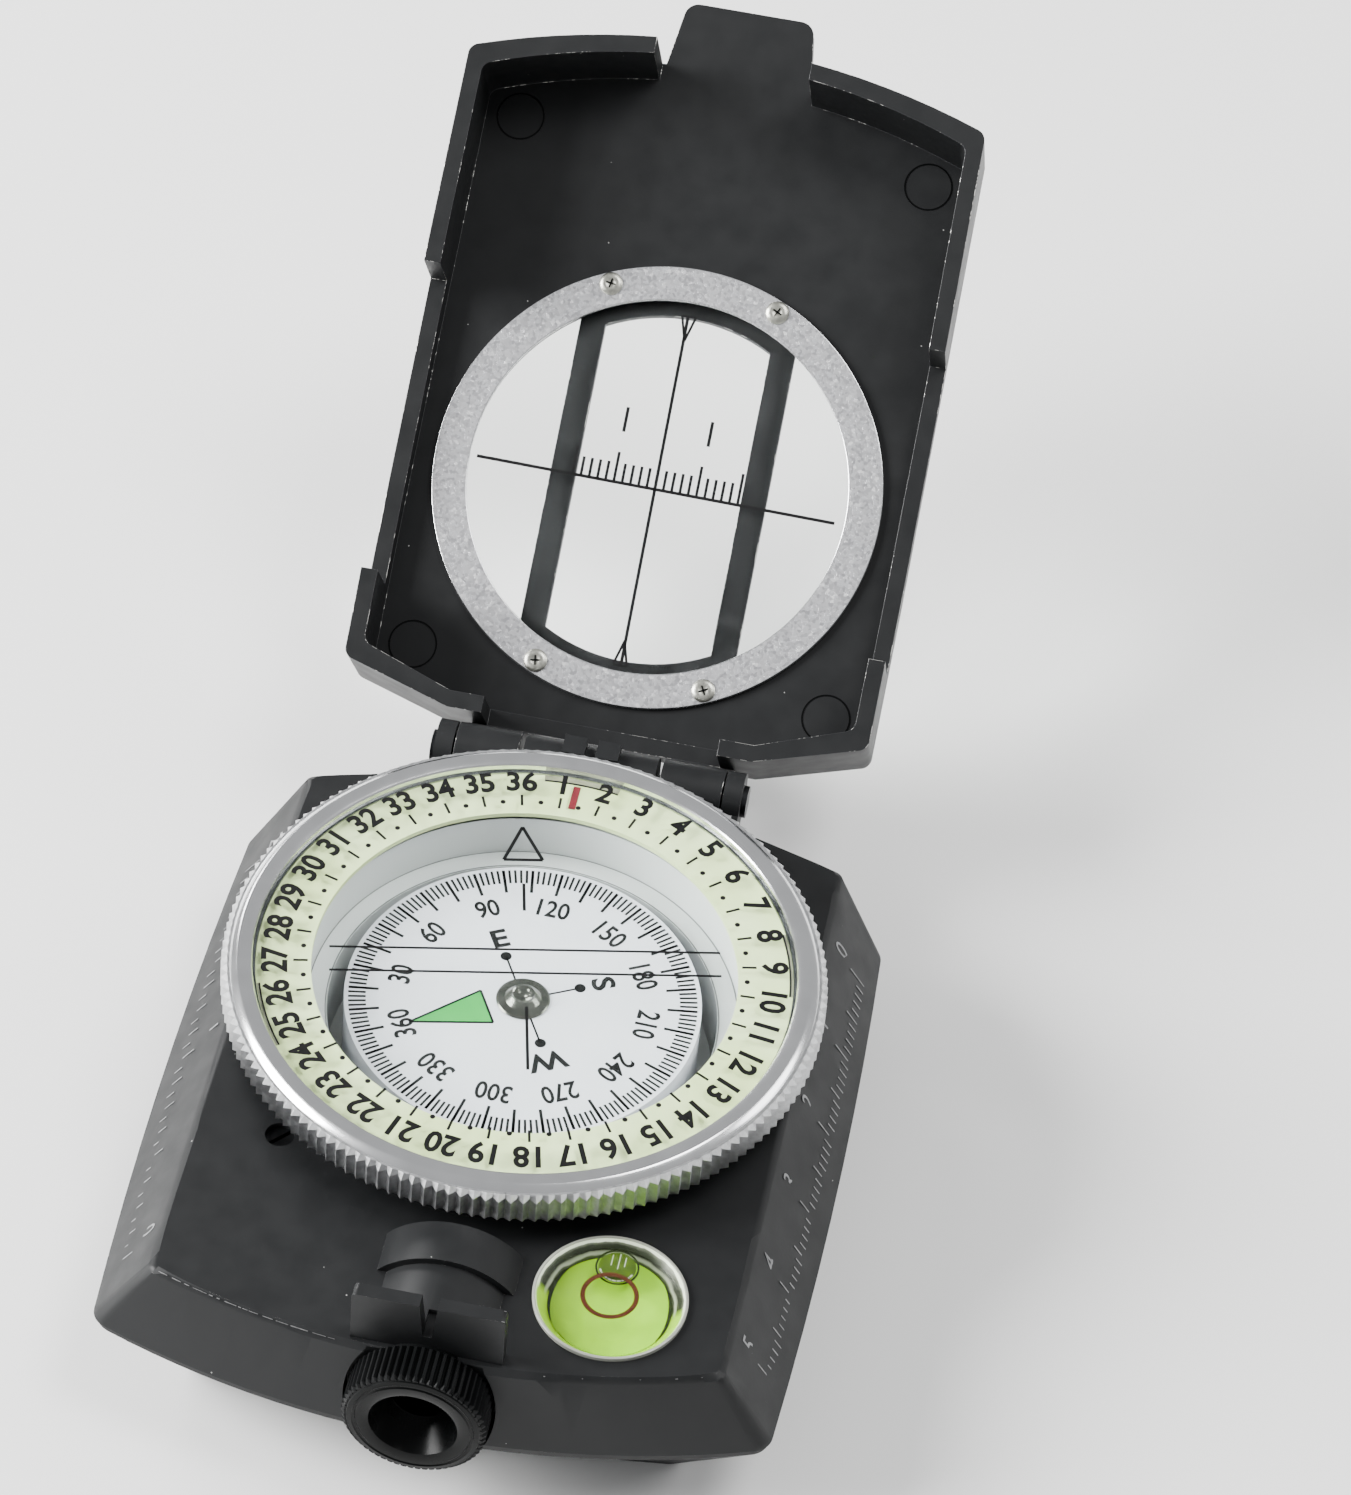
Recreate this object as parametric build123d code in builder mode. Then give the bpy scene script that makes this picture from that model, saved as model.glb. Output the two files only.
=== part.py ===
from build123d import *
import os
from math import cos, radians, sin, sqrt

# Folding sighting compass. Millimetres, +Z up, +Y towards the hinge, +X along the hinge pin.
# The origin lies on the bezel axis, in the plane that the case rests on.
# The lid is drawn open, as it stands against its stop.

# ---------------------------------------------------------------- driving dimensions
# Card and its liquid capsule
card_r = 17.1
card_t = 0.5
skirt_t = 0.5
skirt_drop = 6.5
card_gap = 1.6            # between the skirt and the capsule wall
card_rise = 0.94          # card face above the case top
ledge_w = 2.1             # step between the lower and the upper capsule bore
ledge_drop = 0.66         # ledge below the case top
cup_wall = 1.3
cup_low_wall = 1.0
cup_floor_t = 1.0
ledge_t = 1.0
floor_gap = 2.4           # under the skirt
collar_t = 0.8
collar_gap = 0.7          # between the collar and the lower capsule wall
collar_drop = 0.2         # collar's seat below the case roof
window_t = 1.0
window_seat = 0.5
jewel_r = 2.6
jewel_tip_r = 1.0
jewel_rise = 1.1
jewel_foot = 0.22
jewel_shoulder = 0.88
jewel_flat_r = 0.67
jewel_bore = 0.55
jewel_bore_r = 0.6
stem_r = 1.2
magnet_l = 22.0
magnet_w = 5.0
magnet_t = 1.8
post_r = 1.0
post_tip_r = 0.12
post_neck_r = 0.4
post_gap = 0.1            # tip below the end of the jewel's bore
post_cone = 1.6

# Bezel
number_w = 5.55           # luminous ring, capsule bore to bezel rim
dial_t = 0.8              # clear disc that carries the numbers
dial_rise = 6.34          # disc's face above the case top
rim_w = 3.0
rim_rise = 0.4            # rim above the disc
rim_bevel = 1.1
bezel_lift = 2.74         # bezel underside above the case top
luminous_t = 0.5
luminous_gap = 0.1        # under the turning disc
disc_seat = 0.3
index_w = 0.9
index_l = 3.0
index_t = 0.06
index_out = 1.3           # inside the luminous ring's edge
boss_inset = 2.55         # boss below the bezel, inside the bezel rim
bezel_gap = 0.2
running_gap = 0.05
spring_ring_t = 0.8
spring_ring_in = 0.5      # ring's depth in the spigot
spring_ring_out = 0.5     # ring's reach into the bezel
spring_ring_lift = 0.7
spring_ring_slit = 4.0
groove_gap = 0.1

# Case
base_h = 9.0
flange_h = 1.0
bevel_h = 7.76
bevel_run = 5.2           # how far the sides spread down the bevel
bezel_overhang = 2.15     # bezel beyond the sides of the case top
nose_l = 13.7             # saddle and eyepiece block, rear to front
front_sag = 4.6           # bow of the front edge
front_run = 2.5           # spread of the front face down the bevel
shoulder_drop = 3.3       # rear corners ahead of the hinge land
side_bow = 0.15
lower_bow = 0.9
corner_r = 1.2
lower_corner_r = 2.0
ear_margin = 1.0          # corners farther out than the ears are rounded
case_wall = 1.8
boss_wall = 1.6
base_run = 8.0            # how far the base draws in down to its flat underside
base_wall = 1.6
base_floor_t = 2.0
flange_step = 0.3
gasket_w = 0.8
gasket_t = 0.6
gasket_inset = 0.5        # inside the flange's edge
edge_break = 0.5

# Hinge
pin_r = 1.1
barrel_r = 2.8
barrel_gap = 1.08         # between the bezel and the hinge barrels
land_gap = 1.43           # between the barrels and the rear wall
hinge_drop = 0.88         # hinge axis below the case top
centre_barrel = 6.7       # half length of the middle barrel
lid_barrel_in = 7.2
lid_barrel_out = 13.5
ear_in = 13.7
ear_out = 15.5
pin_head = 0.5
bump_w = 2.3
bump_gap = 1.1
bump_h = 0.9
bump_l = 2.4
web_top = 0.6             # webs' upper face above the hinge axis
web_root = 1.0            # webs' reach into the rear wall

# Lid
lid_open = 34.52          # slope of the open lid above level
lid_depth = 9.7
lid_floor_t = 2.0
lid_wall = 1.7
lid_gap = 0.12            # between the closed lid and the case
lid_bevel = 1.0
cut_rise = 0.6            # closed lid's cut-outs above the bezel
cut_margin = 1.7          # cut-outs beyond the bezel, each way
rear_cut = 12.0           # half width of the low part of the rear wall
web_out = 2.0             # barrel webs' upper edge below the rim
web_heel = 1.4
sight_gap = 8.0           # half width of the gap over the sight block
tab_l = 6.5
tab_w = 13.2
tab_root_w = 15.6
tab_r = 1.5
window_set = 0.76         # window centre ahead of the bezel axis
pane_r = 20.9
pane_t = 1.0
pane_gap = 0.05
opening_r = 19.9
slot_r = 18.2
bar_in = 8.6
bar_out = 11.2
ring_in = 19.5
ring_out = 23.1
ring_t = 0.6
ring_screw_at = 21.8
ring_screw_angle = 23.5
ring_screw_r = 0.6
ring_head_r = 1.2
ring_head_t = 0.4
ring_screw_l = 1.9

# Eyepiece and sight block
eye_drop = 4.76           # eyepiece axis below the case top
saddle_gap = 1.15         # between the bezel and the saddle
saddle_r = 8.0
housing_r = 7.0
saddle_low_r = 7.3
saddle_step = 4.5
saddle_wall = 1.0         # behind the eyepiece sleeve
block_set = 1.1           # sight block's face behind the case front
ear_half = 7.1
sight_ear_t = 1.4
sight_ear_rise = 6.2
sight_top_w = 1.8
sight_root_w = 0.8
sight_depth = 4.2
ring_r = 6.76
ring_l = 4.3
ring_chamfer = 0.3
ring_inset = 0.5          # ring's rear face behind the front edge
ring_back_gap = 0.2
ring_side_gap = 0.34
aperture_r = 4.16
throat_r = 2.7
throat_s = 3.4            # cone's depth from the face
neck_l = 1.1
neck_bore_r = 3.7
sleeve_in = 4.55
sleeve_wall = 1.05
sleeve_l = 12.0
slide_gap = 0.05
focus_travel = 1.5
cell_l = 5.0
cell_bore_r = 3.2
lens_r = 3.7
lens_set = 2.4            # lens seat behind the cell's front
lens_edge_t = 1.2
lens_sag = 0.5
retainer_gap = 0.2
retainer_t = 0.7
retainer_r = 3.0
sight_hole_r = 2.6

# Bubble level and lock screw
vial_r = 7.2
vial_wall = 0.9
vial_depth = 3.26
vial_rise = 0.44
vial_tuck = 0.1           # vial seat into the saddle's side
vial_window_t = 1.0
vial_dome = 0.7
vial_floor_t = 0.8
lock_r = 1.4
lock_at = 1.8             # beyond the boss
lock_angle = 228.0
lock_sink = 0.5           # screw's face below the case top
lock_t = 1.0
lock_slot = 0.4

# Fasteners and tripod bush
cover_screw_r = 1.0
cover_head_r = 1.9
cover_head_t = 1.2
cover_column_r = 2.6
cover_screw_front = 22.5
cover_screw_rear = 14.0
cover_grip = 4.5
screw_gap = 0.15
driver_r = 1.0
driver_depth = 0.6
tripod_bore_r = 2.55
tripod_bush_r = 5.0
tripod_bush_gap = 0.9     # below the capsule

# ---------------------------------------------------------------- levels and stations
parting_z = base_h + flange_h
case_top = parting_z + bevel_h
roof_z = case_top - case_wall
card_z = case_top + card_rise
ledge_z = case_top - ledge_drop
step_z = ledge_z - ledge_t
collar_z = roof_z - collar_drop
skirt_low_z = card_z - card_t - skirt_drop
cup_floor_z = skirt_low_z - floor_gap
cup_low_z = cup_floor_z - cup_floor_t
dial_z = case_top + dial_rise
disc_low_z = dial_z - dial_t
luminous_z = disc_low_z - luminous_gap
spigot_z = luminous_z - luminous_t
window_z = spigot_z - window_t
bezel_z = case_top + bezel_lift
rim_z = dial_z + rim_rise
groove_z = bezel_z + spring_ring_lift

cup_low_r = card_r + card_gap
cup_low_out_r = cup_low_r + cup_low_wall
cup_r = cup_low_r + ledge_w
cup_out_r = cup_r + cup_wall
window_r = cup_r + window_seat
spigot_r = cup_out_r + boss_wall
luminous_in_r = cup_r - window_seat
disc_r = luminous_in_r + number_w
luminous_out_r = disc_r - disc_seat
bezel_r = disc_r + rim_w
boss_r = bezel_r - boss_inset

half_top = bezel_r - bezel_overhang
hinge_y = bezel_r + barrel_gap + barrel_r
hinge_z = case_top - hinge_drop
rear_y = hinge_y - barrel_r - land_gap
shoulder_y = rear_y - shoulder_drop
front_y = -(bezel_r + saddle_gap + nose_l)
front_corner_y = front_y + front_sag

# Stations along the eyepiece axis are distances forwards of the bezel axis.
eye_z = case_top - eye_drop
sight_top = eye_drop + sight_ear_rise
saddle_s = bezel_r + saddle_gap
seat_s = -front_y - ring_inset
block_s = -front_y - block_set
ring_s = seat_s + ring_back_gap
neck_s = seat_s - neck_l
cell_s = neck_s - focus_travel - cell_l
lens_s = cell_s + cell_l - lens_set
sleeve_s = seat_s - sleeve_l
sleeve_r = sleeve_in + sleeve_wall
cell_r = sleeve_in - slide_gap

vial_x = saddle_r + vial_r - vial_tuck
vial_y = -sqrt((bezel_r + vial_r + running_gap) ** 2 - vial_x ** 2)
vial_top = case_top + vial_rise
vial_low = case_top - vial_depth

tripod_bush_l = cup_low_z - tripod_bush_gap
cover_screws = [
    (side * cup_low_out_r, y) for side in (-1, 1) for y in (-cover_screw_front, cover_screw_rear)
]

# Levels in the lid run out of its open side, from the hinge axis.
slope = radians(lid_open)
lid_plane = Plane(origin=(0, hinge_y, hinge_z), x_dir=(1, 0, 0), z_dir=(0, -sin(slope), cos(slope)))
rim_n = -hinge_drop - lid_gap
floor_n = rim_n - lid_depth
back_n = floor_n - lid_floor_t
cut_n = hinge_z - rim_z - cut_rise
window_d = hinge_y - window_set
ring_screw_x = ring_screw_at * sin(radians(ring_screw_angle))
ring_screw_d = ring_screw_at * cos(radians(ring_screw_angle))
ring_screw_places = [
    (side * ring_screw_x, window_d + end * ring_screw_d) for side in (-1, 1) for end in (-1, 1)
]
lid_rear_d = hinge_y - rear_y
lid_front_d = hinge_y - front_y
cut_half = sqrt(bezel_r ** 2 - (half_top - lid_wall) ** 2) + cut_margin


def lid_side(x):
    """Plane across the hinge at x: local X runs away from the hinge, local Y out of the lid."""
    return Plane(origin=(x, hinge_y, hinge_z), x_dir=(0, cos(slope), sin(slope)), z_dir=(1, 0, 0))


def across_eye(s):
    """Plane across the eyepiece axis at station s, facing forwards."""
    return Plane(origin=(0, -s, eye_z), x_dir=(1, 0, 0), z_dir=(0, -1, 0))


# Section planes for turned pieces: local X is a distance along the axis or a radius.
eye_section = Plane(origin=(0, 0, eye_z), x_dir=(0, -1, 0), z_dir=(1, 0, 0))
eye_axis = Axis((0, 0, eye_z), (0, -1, 0))
vial_section = Plane(origin=(vial_x, vial_y, 0), x_dir=(1, 0, 0), z_dir=(0, -1, 0))
vial_axis = Axis((vial_x, vial_y, 0), (0, 0, 1))


def plan(plane, inset=0.0, spread=0.0, front=0.0, rear=0.0, bow=side_bow, corner=corner_r, flip=False):
    """Plan of case or lid: straight hinge land, two shoulders, bowed sides and a bowed front."""
    def at(x, y):
        return (x, hinge_y - y) if flip else (x, y)

    half = half_top + spread - inset
    land_y = rear_y + rear - inset
    shoulder = shoulder_y + rear - spread / 2 - inset
    tip_y = front_y - front + inset
    front_corner = front_corner_y - front / 2 + inset
    side_mid = (shoulder + front_corner) / 2
    with BuildSketch(plane) as sketch:
        with BuildLine():
            Polyline(at(half, shoulder), at(ear_out, land_y), at(-ear_out, land_y), at(-half, shoulder))
            ThreePointArc(at(-half, shoulder), at(-half - bow, side_mid), at(-half, front_corner))
            ThreePointArc(at(-half, front_corner), at(0, tip_y), at(half, front_corner))
            ThreePointArc(at(half, front_corner), at(half + bow, side_mid), at(half, shoulder))
        make_face()
        fillet(sketch.vertices().filter_by(lambda v: abs(v.X) > ear_out + ear_margin), radius=corner)
    return sketch.sketch


def lower_plan(z, inset=0.0):
    """Widest plan of the case, at the foot of the bevels."""
    return plan(Plane.XY.offset(z), inset, bevel_run, front_run, 0.0, lower_bow, lower_corner_r)


def base_plan(z, inset=0.0):
    """Plan of the flat underside, drawn in from the flange on every side."""
    drawn = base_run - inset
    side = bevel_run - drawn
    front = front_run - drawn
    return plan(Plane.XY.offset(z), 0.0, side, front, -drawn, lower_bow, lower_corner_r)


def crown(half, sag):
    """Rise of a spherical face at half its half width."""
    sphere = (half ** 2 + sag ** 2) / (2 * sag)
    return sqrt(sphere ** 2 - (half / 2) ** 2) - (sphere - sag)


def annulus(plane, outer, inner):
    """Flat ring."""
    with BuildSketch(plane) as sketch:
        Circle(outer)
        Circle(inner, mode=Mode.SUBTRACT)
    return sketch.sketch


def upper_part_of_circle(s, radius, level):
    """Section of the eyepiece housing: a circle about the axis, cut off below a level."""
    with BuildSketch(across_eye(s)) as sketch:
        Circle(radius)
        with Locations((0, level - eye_z + radius)):
            Rectangle(4 * radius, 2 * radius, mode=Mode.INTERSECT)
    return sketch.sketch


def case_web(x):
    """Section of a case hinge barrel and the web that ties it to the rear wall."""
    with BuildSketch(Plane.YZ.offset(x)) as sketch:
        with Locations((hinge_y, hinge_z)):
            Circle(barrel_r)
        with BuildLine():
            Polyline(
                (hinge_y, hinge_z + web_top),
                (rear_y - web_root, hinge_z + web_top),
                (rear_y - web_root, parting_z),
                (rear_y + web_root, parting_z),
                (hinge_y, hinge_z - barrel_r),
                close=True,
            )
        make_face()
    return sketch.sketch


def lid_web(x):
    """Section of a lid hinge barrel and the web that ties it to the lid's back."""
    with BuildSketch(lid_side(x)) as sketch:
        Circle(barrel_r)
        with BuildLine():
            Polyline(
                (-barrel_r, 0),
                (-barrel_r, rim_n - web_out),
                (web_heel, back_n + lid_bevel),
                (web_heel + lid_bevel, back_n),
                (lid_rear_d + lid_wall, back_n),
                (lid_rear_d + lid_wall, cut_n),
                (lid_rear_d, cut_n),
                (barrel_r, 0),
                close=True,
            )
        make_face()
    return sketch.sketch


# ---------------------------------------------------------------- case
with BuildPart() as case_shell:
    loft(sections=[lower_plan(parting_z).face(), plan(Plane.XY.offset(case_top)).face()])
    chamfer(case_shell.faces().sort_by(Axis.Z)[-1].edges(), length=edge_break)
    loft(
        sections=[
            lower_plan(parting_z, case_wall).face(),
            plan(Plane.XY.offset(roof_z), case_wall).face(),
        ],
        mode=Mode.SUBTRACT,
    )
    # boss, spigot and collar
    with BuildSketch(Plane.XY.offset(roof_z)):
        Circle(boss_r)
    extrude(amount=bezel_z - bezel_gap - roof_z)
    with BuildSketch(Plane.XY.offset(collar_z - collar_t)):
        Circle(spigot_r)
    extrude(amount=spigot_z - collar_z + collar_t)
    # saddle over the eyepiece, its lower step, and the housing inside the case
    extrude(upper_part_of_circle(saddle_s, saddle_r, roof_z), amount=saddle_step)
    extrude(upper_part_of_circle(saddle_s, saddle_low_r, roof_z), amount=block_s - saddle_s)
    extrude(upper_part_of_circle(saddle_s, housing_r, parting_z), amount=block_s - saddle_s)
    # sight ears and the notch between them
    with BuildSketch(across_eye(block_s - sight_ear_t)):
        with Locations((0, sight_top - (sight_ear_rise + case_wall) / 2)):
            RectangleRounded(2 * ear_half, sight_ear_rise + case_wall, edge_break)
    extrude(amount=sight_ear_t)
    with BuildSketch(across_eye(block_s - 2 * sight_ear_t)):
        with BuildLine():
            Polyline(
                (sight_root_w / 2, sight_top - sight_depth),
                (sight_top_w / 2, sight_top + edge_break),
                (-sight_top_w / 2, sight_top + edge_break),
                (-sight_root_w / 2, sight_top - sight_depth),
                close=True,
            )
        make_face()
    extrude(amount=3 * sight_ear_t, mode=Mode.SUBTRACT)
    # hinge barrels and the two bumps on the middle one
    extrude(case_web(0), amount=centre_barrel, both=True)
    for side in (-1, 1):
        extrude(case_web(side * (ear_in + ear_out) / 2), amount=(ear_out - ear_in) / 2, both=True)
        with Locations((side * (bump_gap + bump_w) / 2, hinge_y, hinge_z + barrel_r)):
            Box(bump_w, bump_l, 2 * bump_h)
    # bosses for the cover screws
    with BuildSketch(Plane.XY.offset(parting_z)):
        with Locations(*cover_screws):
            Circle(cover_column_r - screw_gap)
    extrude(amount=roof_z - parting_z + edge_break)
    # capsule bores and the spring ring's groove
    with BuildSketch(Plane.XY.offset(collar_z)):
        Circle(cup_out_r)
    extrude(amount=spigot_z, mode=Mode.SUBTRACT)
    with BuildSketch(Plane.XY.offset(parting_z)):
        Circle(cup_low_out_r + collar_gap)
    extrude(amount=spigot_z, mode=Mode.SUBTRACT)
    extrude(
        annulus(Plane.XY.offset(groove_z), spigot_r + groove_gap, spigot_r - spring_ring_in),
        amount=spring_ring_t,
        mode=Mode.SUBTRACT,
    )
    # seats of the bubble level and the lock screw
    with BuildSketch(Plane.XY.offset(vial_low)):
        with Locations((vial_x, vial_y)):
            Circle(vial_r)
    extrude(amount=vial_top - vial_low, mode=Mode.SUBTRACT)
    with BuildSketch(Plane.XY.offset(case_top - lock_sink - lock_t)):
        with PolarLocations(boss_r + lock_at, 1, start_angle=lock_angle):
            Circle(lock_r)
    extrude(amount=case_wall, mode=Mode.SUBTRACT)
    # eyepiece sleeve, focus ring and line of sight
    with BuildSketch(across_eye(sleeve_s)):
        Circle(sleeve_r)
    extrude(amount=nose_l, mode=Mode.SUBTRACT)
    with BuildSketch(across_eye(seat_s)):
        Circle(ring_r + ring_side_gap)
    extrude(amount=nose_l, mode=Mode.SUBTRACT)
    with BuildSketch(across_eye(saddle_s - saddle_wall)):
        Circle(sight_hole_r)
    extrude(amount=nose_l, mode=Mode.SUBTRACT)
    # hinge pin and cover screw holes
    with BuildSketch(Plane.YZ):
        with Locations((hinge_y, hinge_z)):
            Circle(pin_r)
    extrude(amount=ear_out + pin_head, both=True, mode=Mode.SUBTRACT)
    with BuildSketch(Plane.XY.offset(parting_z)):
        with Locations(*cover_screws):
            Circle(cover_screw_r)
    extrude(amount=cover_grip, mode=Mode.SUBTRACT)

with BuildPart() as bottom_cover:
    loft(sections=[base_plan(0).face(), lower_plan(base_h, flange_step).face()])
    extrude(lower_plan(base_h, flange_step), amount=flange_h)
    loft(
        sections=[
            base_plan(base_floor_t, -base_wall).face(),
            lower_plan(parting_z, flange_step + base_wall).face(),
        ],
        mode=Mode.SUBTRACT,
    )
    with BuildSketch(Plane.XY.offset(base_floor_t - edge_break)):
        with Locations(*cover_screws):
            Circle(cover_column_r)
    extrude(amount=parting_z - base_floor_t + edge_break)
    with BuildSketch(Plane.XY.offset(base_floor_t - edge_break)):
        Circle(tripod_bush_r + base_wall)
    extrude(amount=tripod_bush_l - base_floor_t)
    # screw holes, tripod bush and the clearances round the eyepiece
    with BuildSketch(Plane.XY):
        with Locations(*cover_screws):
            Circle(cover_screw_r + screw_gap)
    extrude(amount=parting_z, mode=Mode.SUBTRACT)
    with BuildSketch(Plane.XY):
        with Locations(*cover_screws):
            Circle(cover_head_r + screw_gap)
    extrude(amount=cover_head_t + screw_gap, mode=Mode.SUBTRACT)
    with BuildSketch(Plane.XY):
        Circle(tripod_bush_r)
    extrude(amount=tripod_bush_l, mode=Mode.SUBTRACT)
    with BuildSketch(across_eye(sleeve_s)):
        Circle(sleeve_r + screw_gap)
    extrude(amount=2 * nose_l, mode=Mode.SUBTRACT)
    with BuildSketch(across_eye(seat_s)):
        Circle(ring_r + ring_side_gap)
    extrude(amount=nose_l, mode=Mode.SUBTRACT)
    extrude(
        lower_plan(parting_z - gasket_t, flange_step + gasket_inset)
        - lower_plan(parting_z - gasket_t, flange_step + gasket_inset + gasket_w),
        amount=gasket_t,
        mode=Mode.SUBTRACT,
    )

with BuildPart() as cover_gasket:
    extrude(
        lower_plan(parting_z - gasket_t, flange_step + gasket_inset)
        - lower_plan(parting_z - gasket_t, flange_step + gasket_inset + gasket_w),
        amount=gasket_t,
    )
    with BuildSketch(across_eye(sleeve_s)):
        Circle(ring_r + ring_side_gap)
    extrude(amount=2 * nose_l, mode=Mode.SUBTRACT)

with BuildPart() as cover_screws_set:
    with BuildSketch(Plane.XY.offset(screw_gap)):
        with Locations(*cover_screws):
            Circle(cover_head_r)
    extrude(amount=cover_head_t)
    with BuildSketch(Plane.XY.offset(screw_gap)):
        with Locations(*cover_screws):
            Circle(cover_screw_r)
    extrude(amount=parting_z - screw_gap + cover_grip - 2 * screw_gap)
    with BuildSketch(Plane.XY):
        with Locations(*cover_screws):
            RegularPolygon(driver_r, 6)
    extrude(amount=screw_gap + driver_depth, mode=Mode.SUBTRACT)

with BuildPart() as tripod_bush:
    with BuildSketch(Plane.XY):
        Circle(tripod_bush_r)
        Circle(tripod_bore_r, mode=Mode.SUBTRACT)
    extrude(amount=tripod_bush_l)

# ---------------------------------------------------------------- capsule
with BuildPart() as capsule_cup:
    with BuildSketch(Plane.XZ):
        with BuildLine():
            Polyline(
                (0, cup_low_z),
                (cup_low_out_r, cup_low_z),
                (cup_low_out_r, step_z),
                (cup_out_r, step_z),
                (cup_out_r, spigot_z),
                (window_r, spigot_z),
                (window_r, window_z),
                (cup_r, window_z),
                (cup_r, ledge_z),
                (cup_low_r, ledge_z),
                (cup_low_r, cup_floor_z),
                (0, cup_floor_z),
                close=True,
            )
        make_face()
    revolve(axis=Axis.Z)

with BuildPart() as capsule_gasket:
    extrude(
        annulus(Plane.XY.offset(collar_z), cup_out_r, cup_low_out_r + collar_gap),
        amount=step_z - collar_z,
    )

with BuildPart() as capsule_window:
    with BuildSketch(Plane.XY.offset(window_z)):
        Circle(window_r)
    extrude(amount=window_t)

with BuildPart() as pivot_post:
    jewel_bore_z = card_z + jewel_bore
    with BuildSketch(Plane.XZ):
        with BuildLine():
            Polyline(
                (0, cup_floor_z),
                (post_r, cup_floor_z),
                (post_r, card_z - card_t - magnet_t - 2 * post_cone),
                (post_neck_r, card_z - card_t - magnet_t - post_cone),
                (post_neck_r, jewel_bore_z - post_cone),
                (post_tip_r, jewel_bore_z - post_gap),
                (0, jewel_bore_z - post_gap),
                close=True,
            )
        make_face()
    revolve(axis=Axis.Z)

with BuildPart() as luminous_ring:
    extrude(
        annulus(Plane.XY.offset(spigot_z), luminous_out_r, luminous_in_r),
        amount=luminous_t,
    )
    index_y = luminous_out_r - index_out - index_l / 2
    with Locations((0, index_y, luminous_z)):
        Box(index_w, index_l, 2 * index_t, mode=Mode.SUBTRACT)

with BuildPart() as index_mark:
    with Locations((0, index_y, luminous_z - index_t / 2)):
        Box(index_w, index_l, index_t)

# ---------------------------------------------------------------- card
with BuildPart() as compass_card:
    with BuildSketch(Plane.XY.offset(card_z - card_t)):
        Circle(card_r)
        Circle(stem_r, mode=Mode.SUBTRACT)
    extrude(amount=card_t)
    extrude(annulus(Plane.XY.offset(skirt_low_z), card_r, card_r - skirt_t), amount=skirt_drop)

with BuildPart() as card_magnet:
    with BuildSketch(Plane.XY.offset(card_z - card_t - magnet_t)):
        SlotOverall(magnet_l, magnet_w)
        Circle(stem_r, mode=Mode.SUBTRACT)
    extrude(amount=magnet_t)

with BuildPart() as card_jewel:
    with BuildSketch(Plane.XZ):
        with BuildLine():
            Polyline(
                (jewel_bore_r, card_z - card_t - magnet_t),
                (stem_r, card_z - card_t - magnet_t),
                (stem_r, card_z),
                (jewel_r, card_z),
                (jewel_r, card_z + jewel_foot),
                (jewel_tip_r, card_z + jewel_shoulder),
                (jewel_flat_r, card_z + jewel_rise),
                (0, card_z + jewel_rise),
                (0, jewel_bore_z),
                (jewel_bore_r, jewel_bore_z),
                close=True,
            )
        make_face()
    revolve(axis=Axis.Z)

# ---------------------------------------------------------------- bezel
with BuildPart() as bezel_ring:
    with BuildSketch(Plane.XZ):
        with BuildLine():
            Polyline(
                (boss_r, bezel_z),
                (bezel_r, bezel_z),
                (bezel_r, rim_z - rim_bevel),
                (bezel_r - rim_bevel, rim_z),
                (disc_r, rim_z),
                (disc_r, disc_low_z),
                (luminous_out_r + running_gap, disc_low_z),
                (luminous_out_r + running_gap, spigot_z - bezel_gap),
                (spigot_r + running_gap, spigot_z - bezel_gap),
                (spigot_r + running_gap, bezel_z),
                close=True,
            )
        make_face()
    revolve(axis=Axis.Z)
    extrude(
        annulus(
            Plane.XY.offset(groove_z - groove_gap),
            spigot_r + spring_ring_out + groove_gap,
            spigot_r,
        ),
        amount=spring_ring_t + 2 * groove_gap,
        mode=Mode.SUBTRACT,
    )

with BuildPart() as spring_ring:
    extrude(
        annulus(Plane.XY.offset(groove_z), spigot_r + spring_ring_out, spigot_r - spring_ring_in),
        amount=spring_ring_t,
    )
    with Locations((0, -spigot_r, groove_z)):
        Box(2 * spring_ring_out, spring_ring_slit, spring_ring_slit, mode=Mode.SUBTRACT)

with BuildPart() as dial_disc:
    with BuildSketch(Plane.XY.offset(disc_low_z)):
        Circle(disc_r)
    extrude(amount=dial_t)

# ---------------------------------------------------------------- bubble level and lock screw
with BuildPart() as level_cup:
    with BuildSketch(Plane.XY.offset(vial_low)):
        with Locations((vial_x, vial_y)):
            Circle(vial_r)
    extrude(amount=vial_top - vial_low)
    with BuildSketch(Plane.XY.offset(vial_low + vial_floor_t)):
        with Locations((vial_x, vial_y)):
            Circle(vial_r - vial_wall)
    extrude(amount=vial_top, mode=Mode.SUBTRACT)

with BuildPart() as level_fluid:
    with BuildSketch(Plane.XY.offset(vial_low + vial_floor_t)):
        with Locations((vial_x, vial_y)):
            Circle(vial_r - vial_wall)
    extrude(amount=vial_top - vial_window_t - vial_low - vial_floor_t)

with BuildPart() as level_window:
    with BuildSketch(vial_section):
        with BuildLine():
            Polyline(
                (0, vial_top + vial_dome),
                (0, vial_top - vial_window_t),
                (vial_r - vial_wall, vial_top - vial_window_t),
                (vial_r - vial_wall, vial_top),
            )
            ThreePointArc(
                (vial_r - vial_wall, vial_top),
                ((vial_r - vial_wall) / 2, vial_top + crown(vial_r - vial_wall, vial_dome)),
                (0, vial_top + vial_dome),
            )
        make_face()
    revolve(axis=vial_axis)

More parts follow.
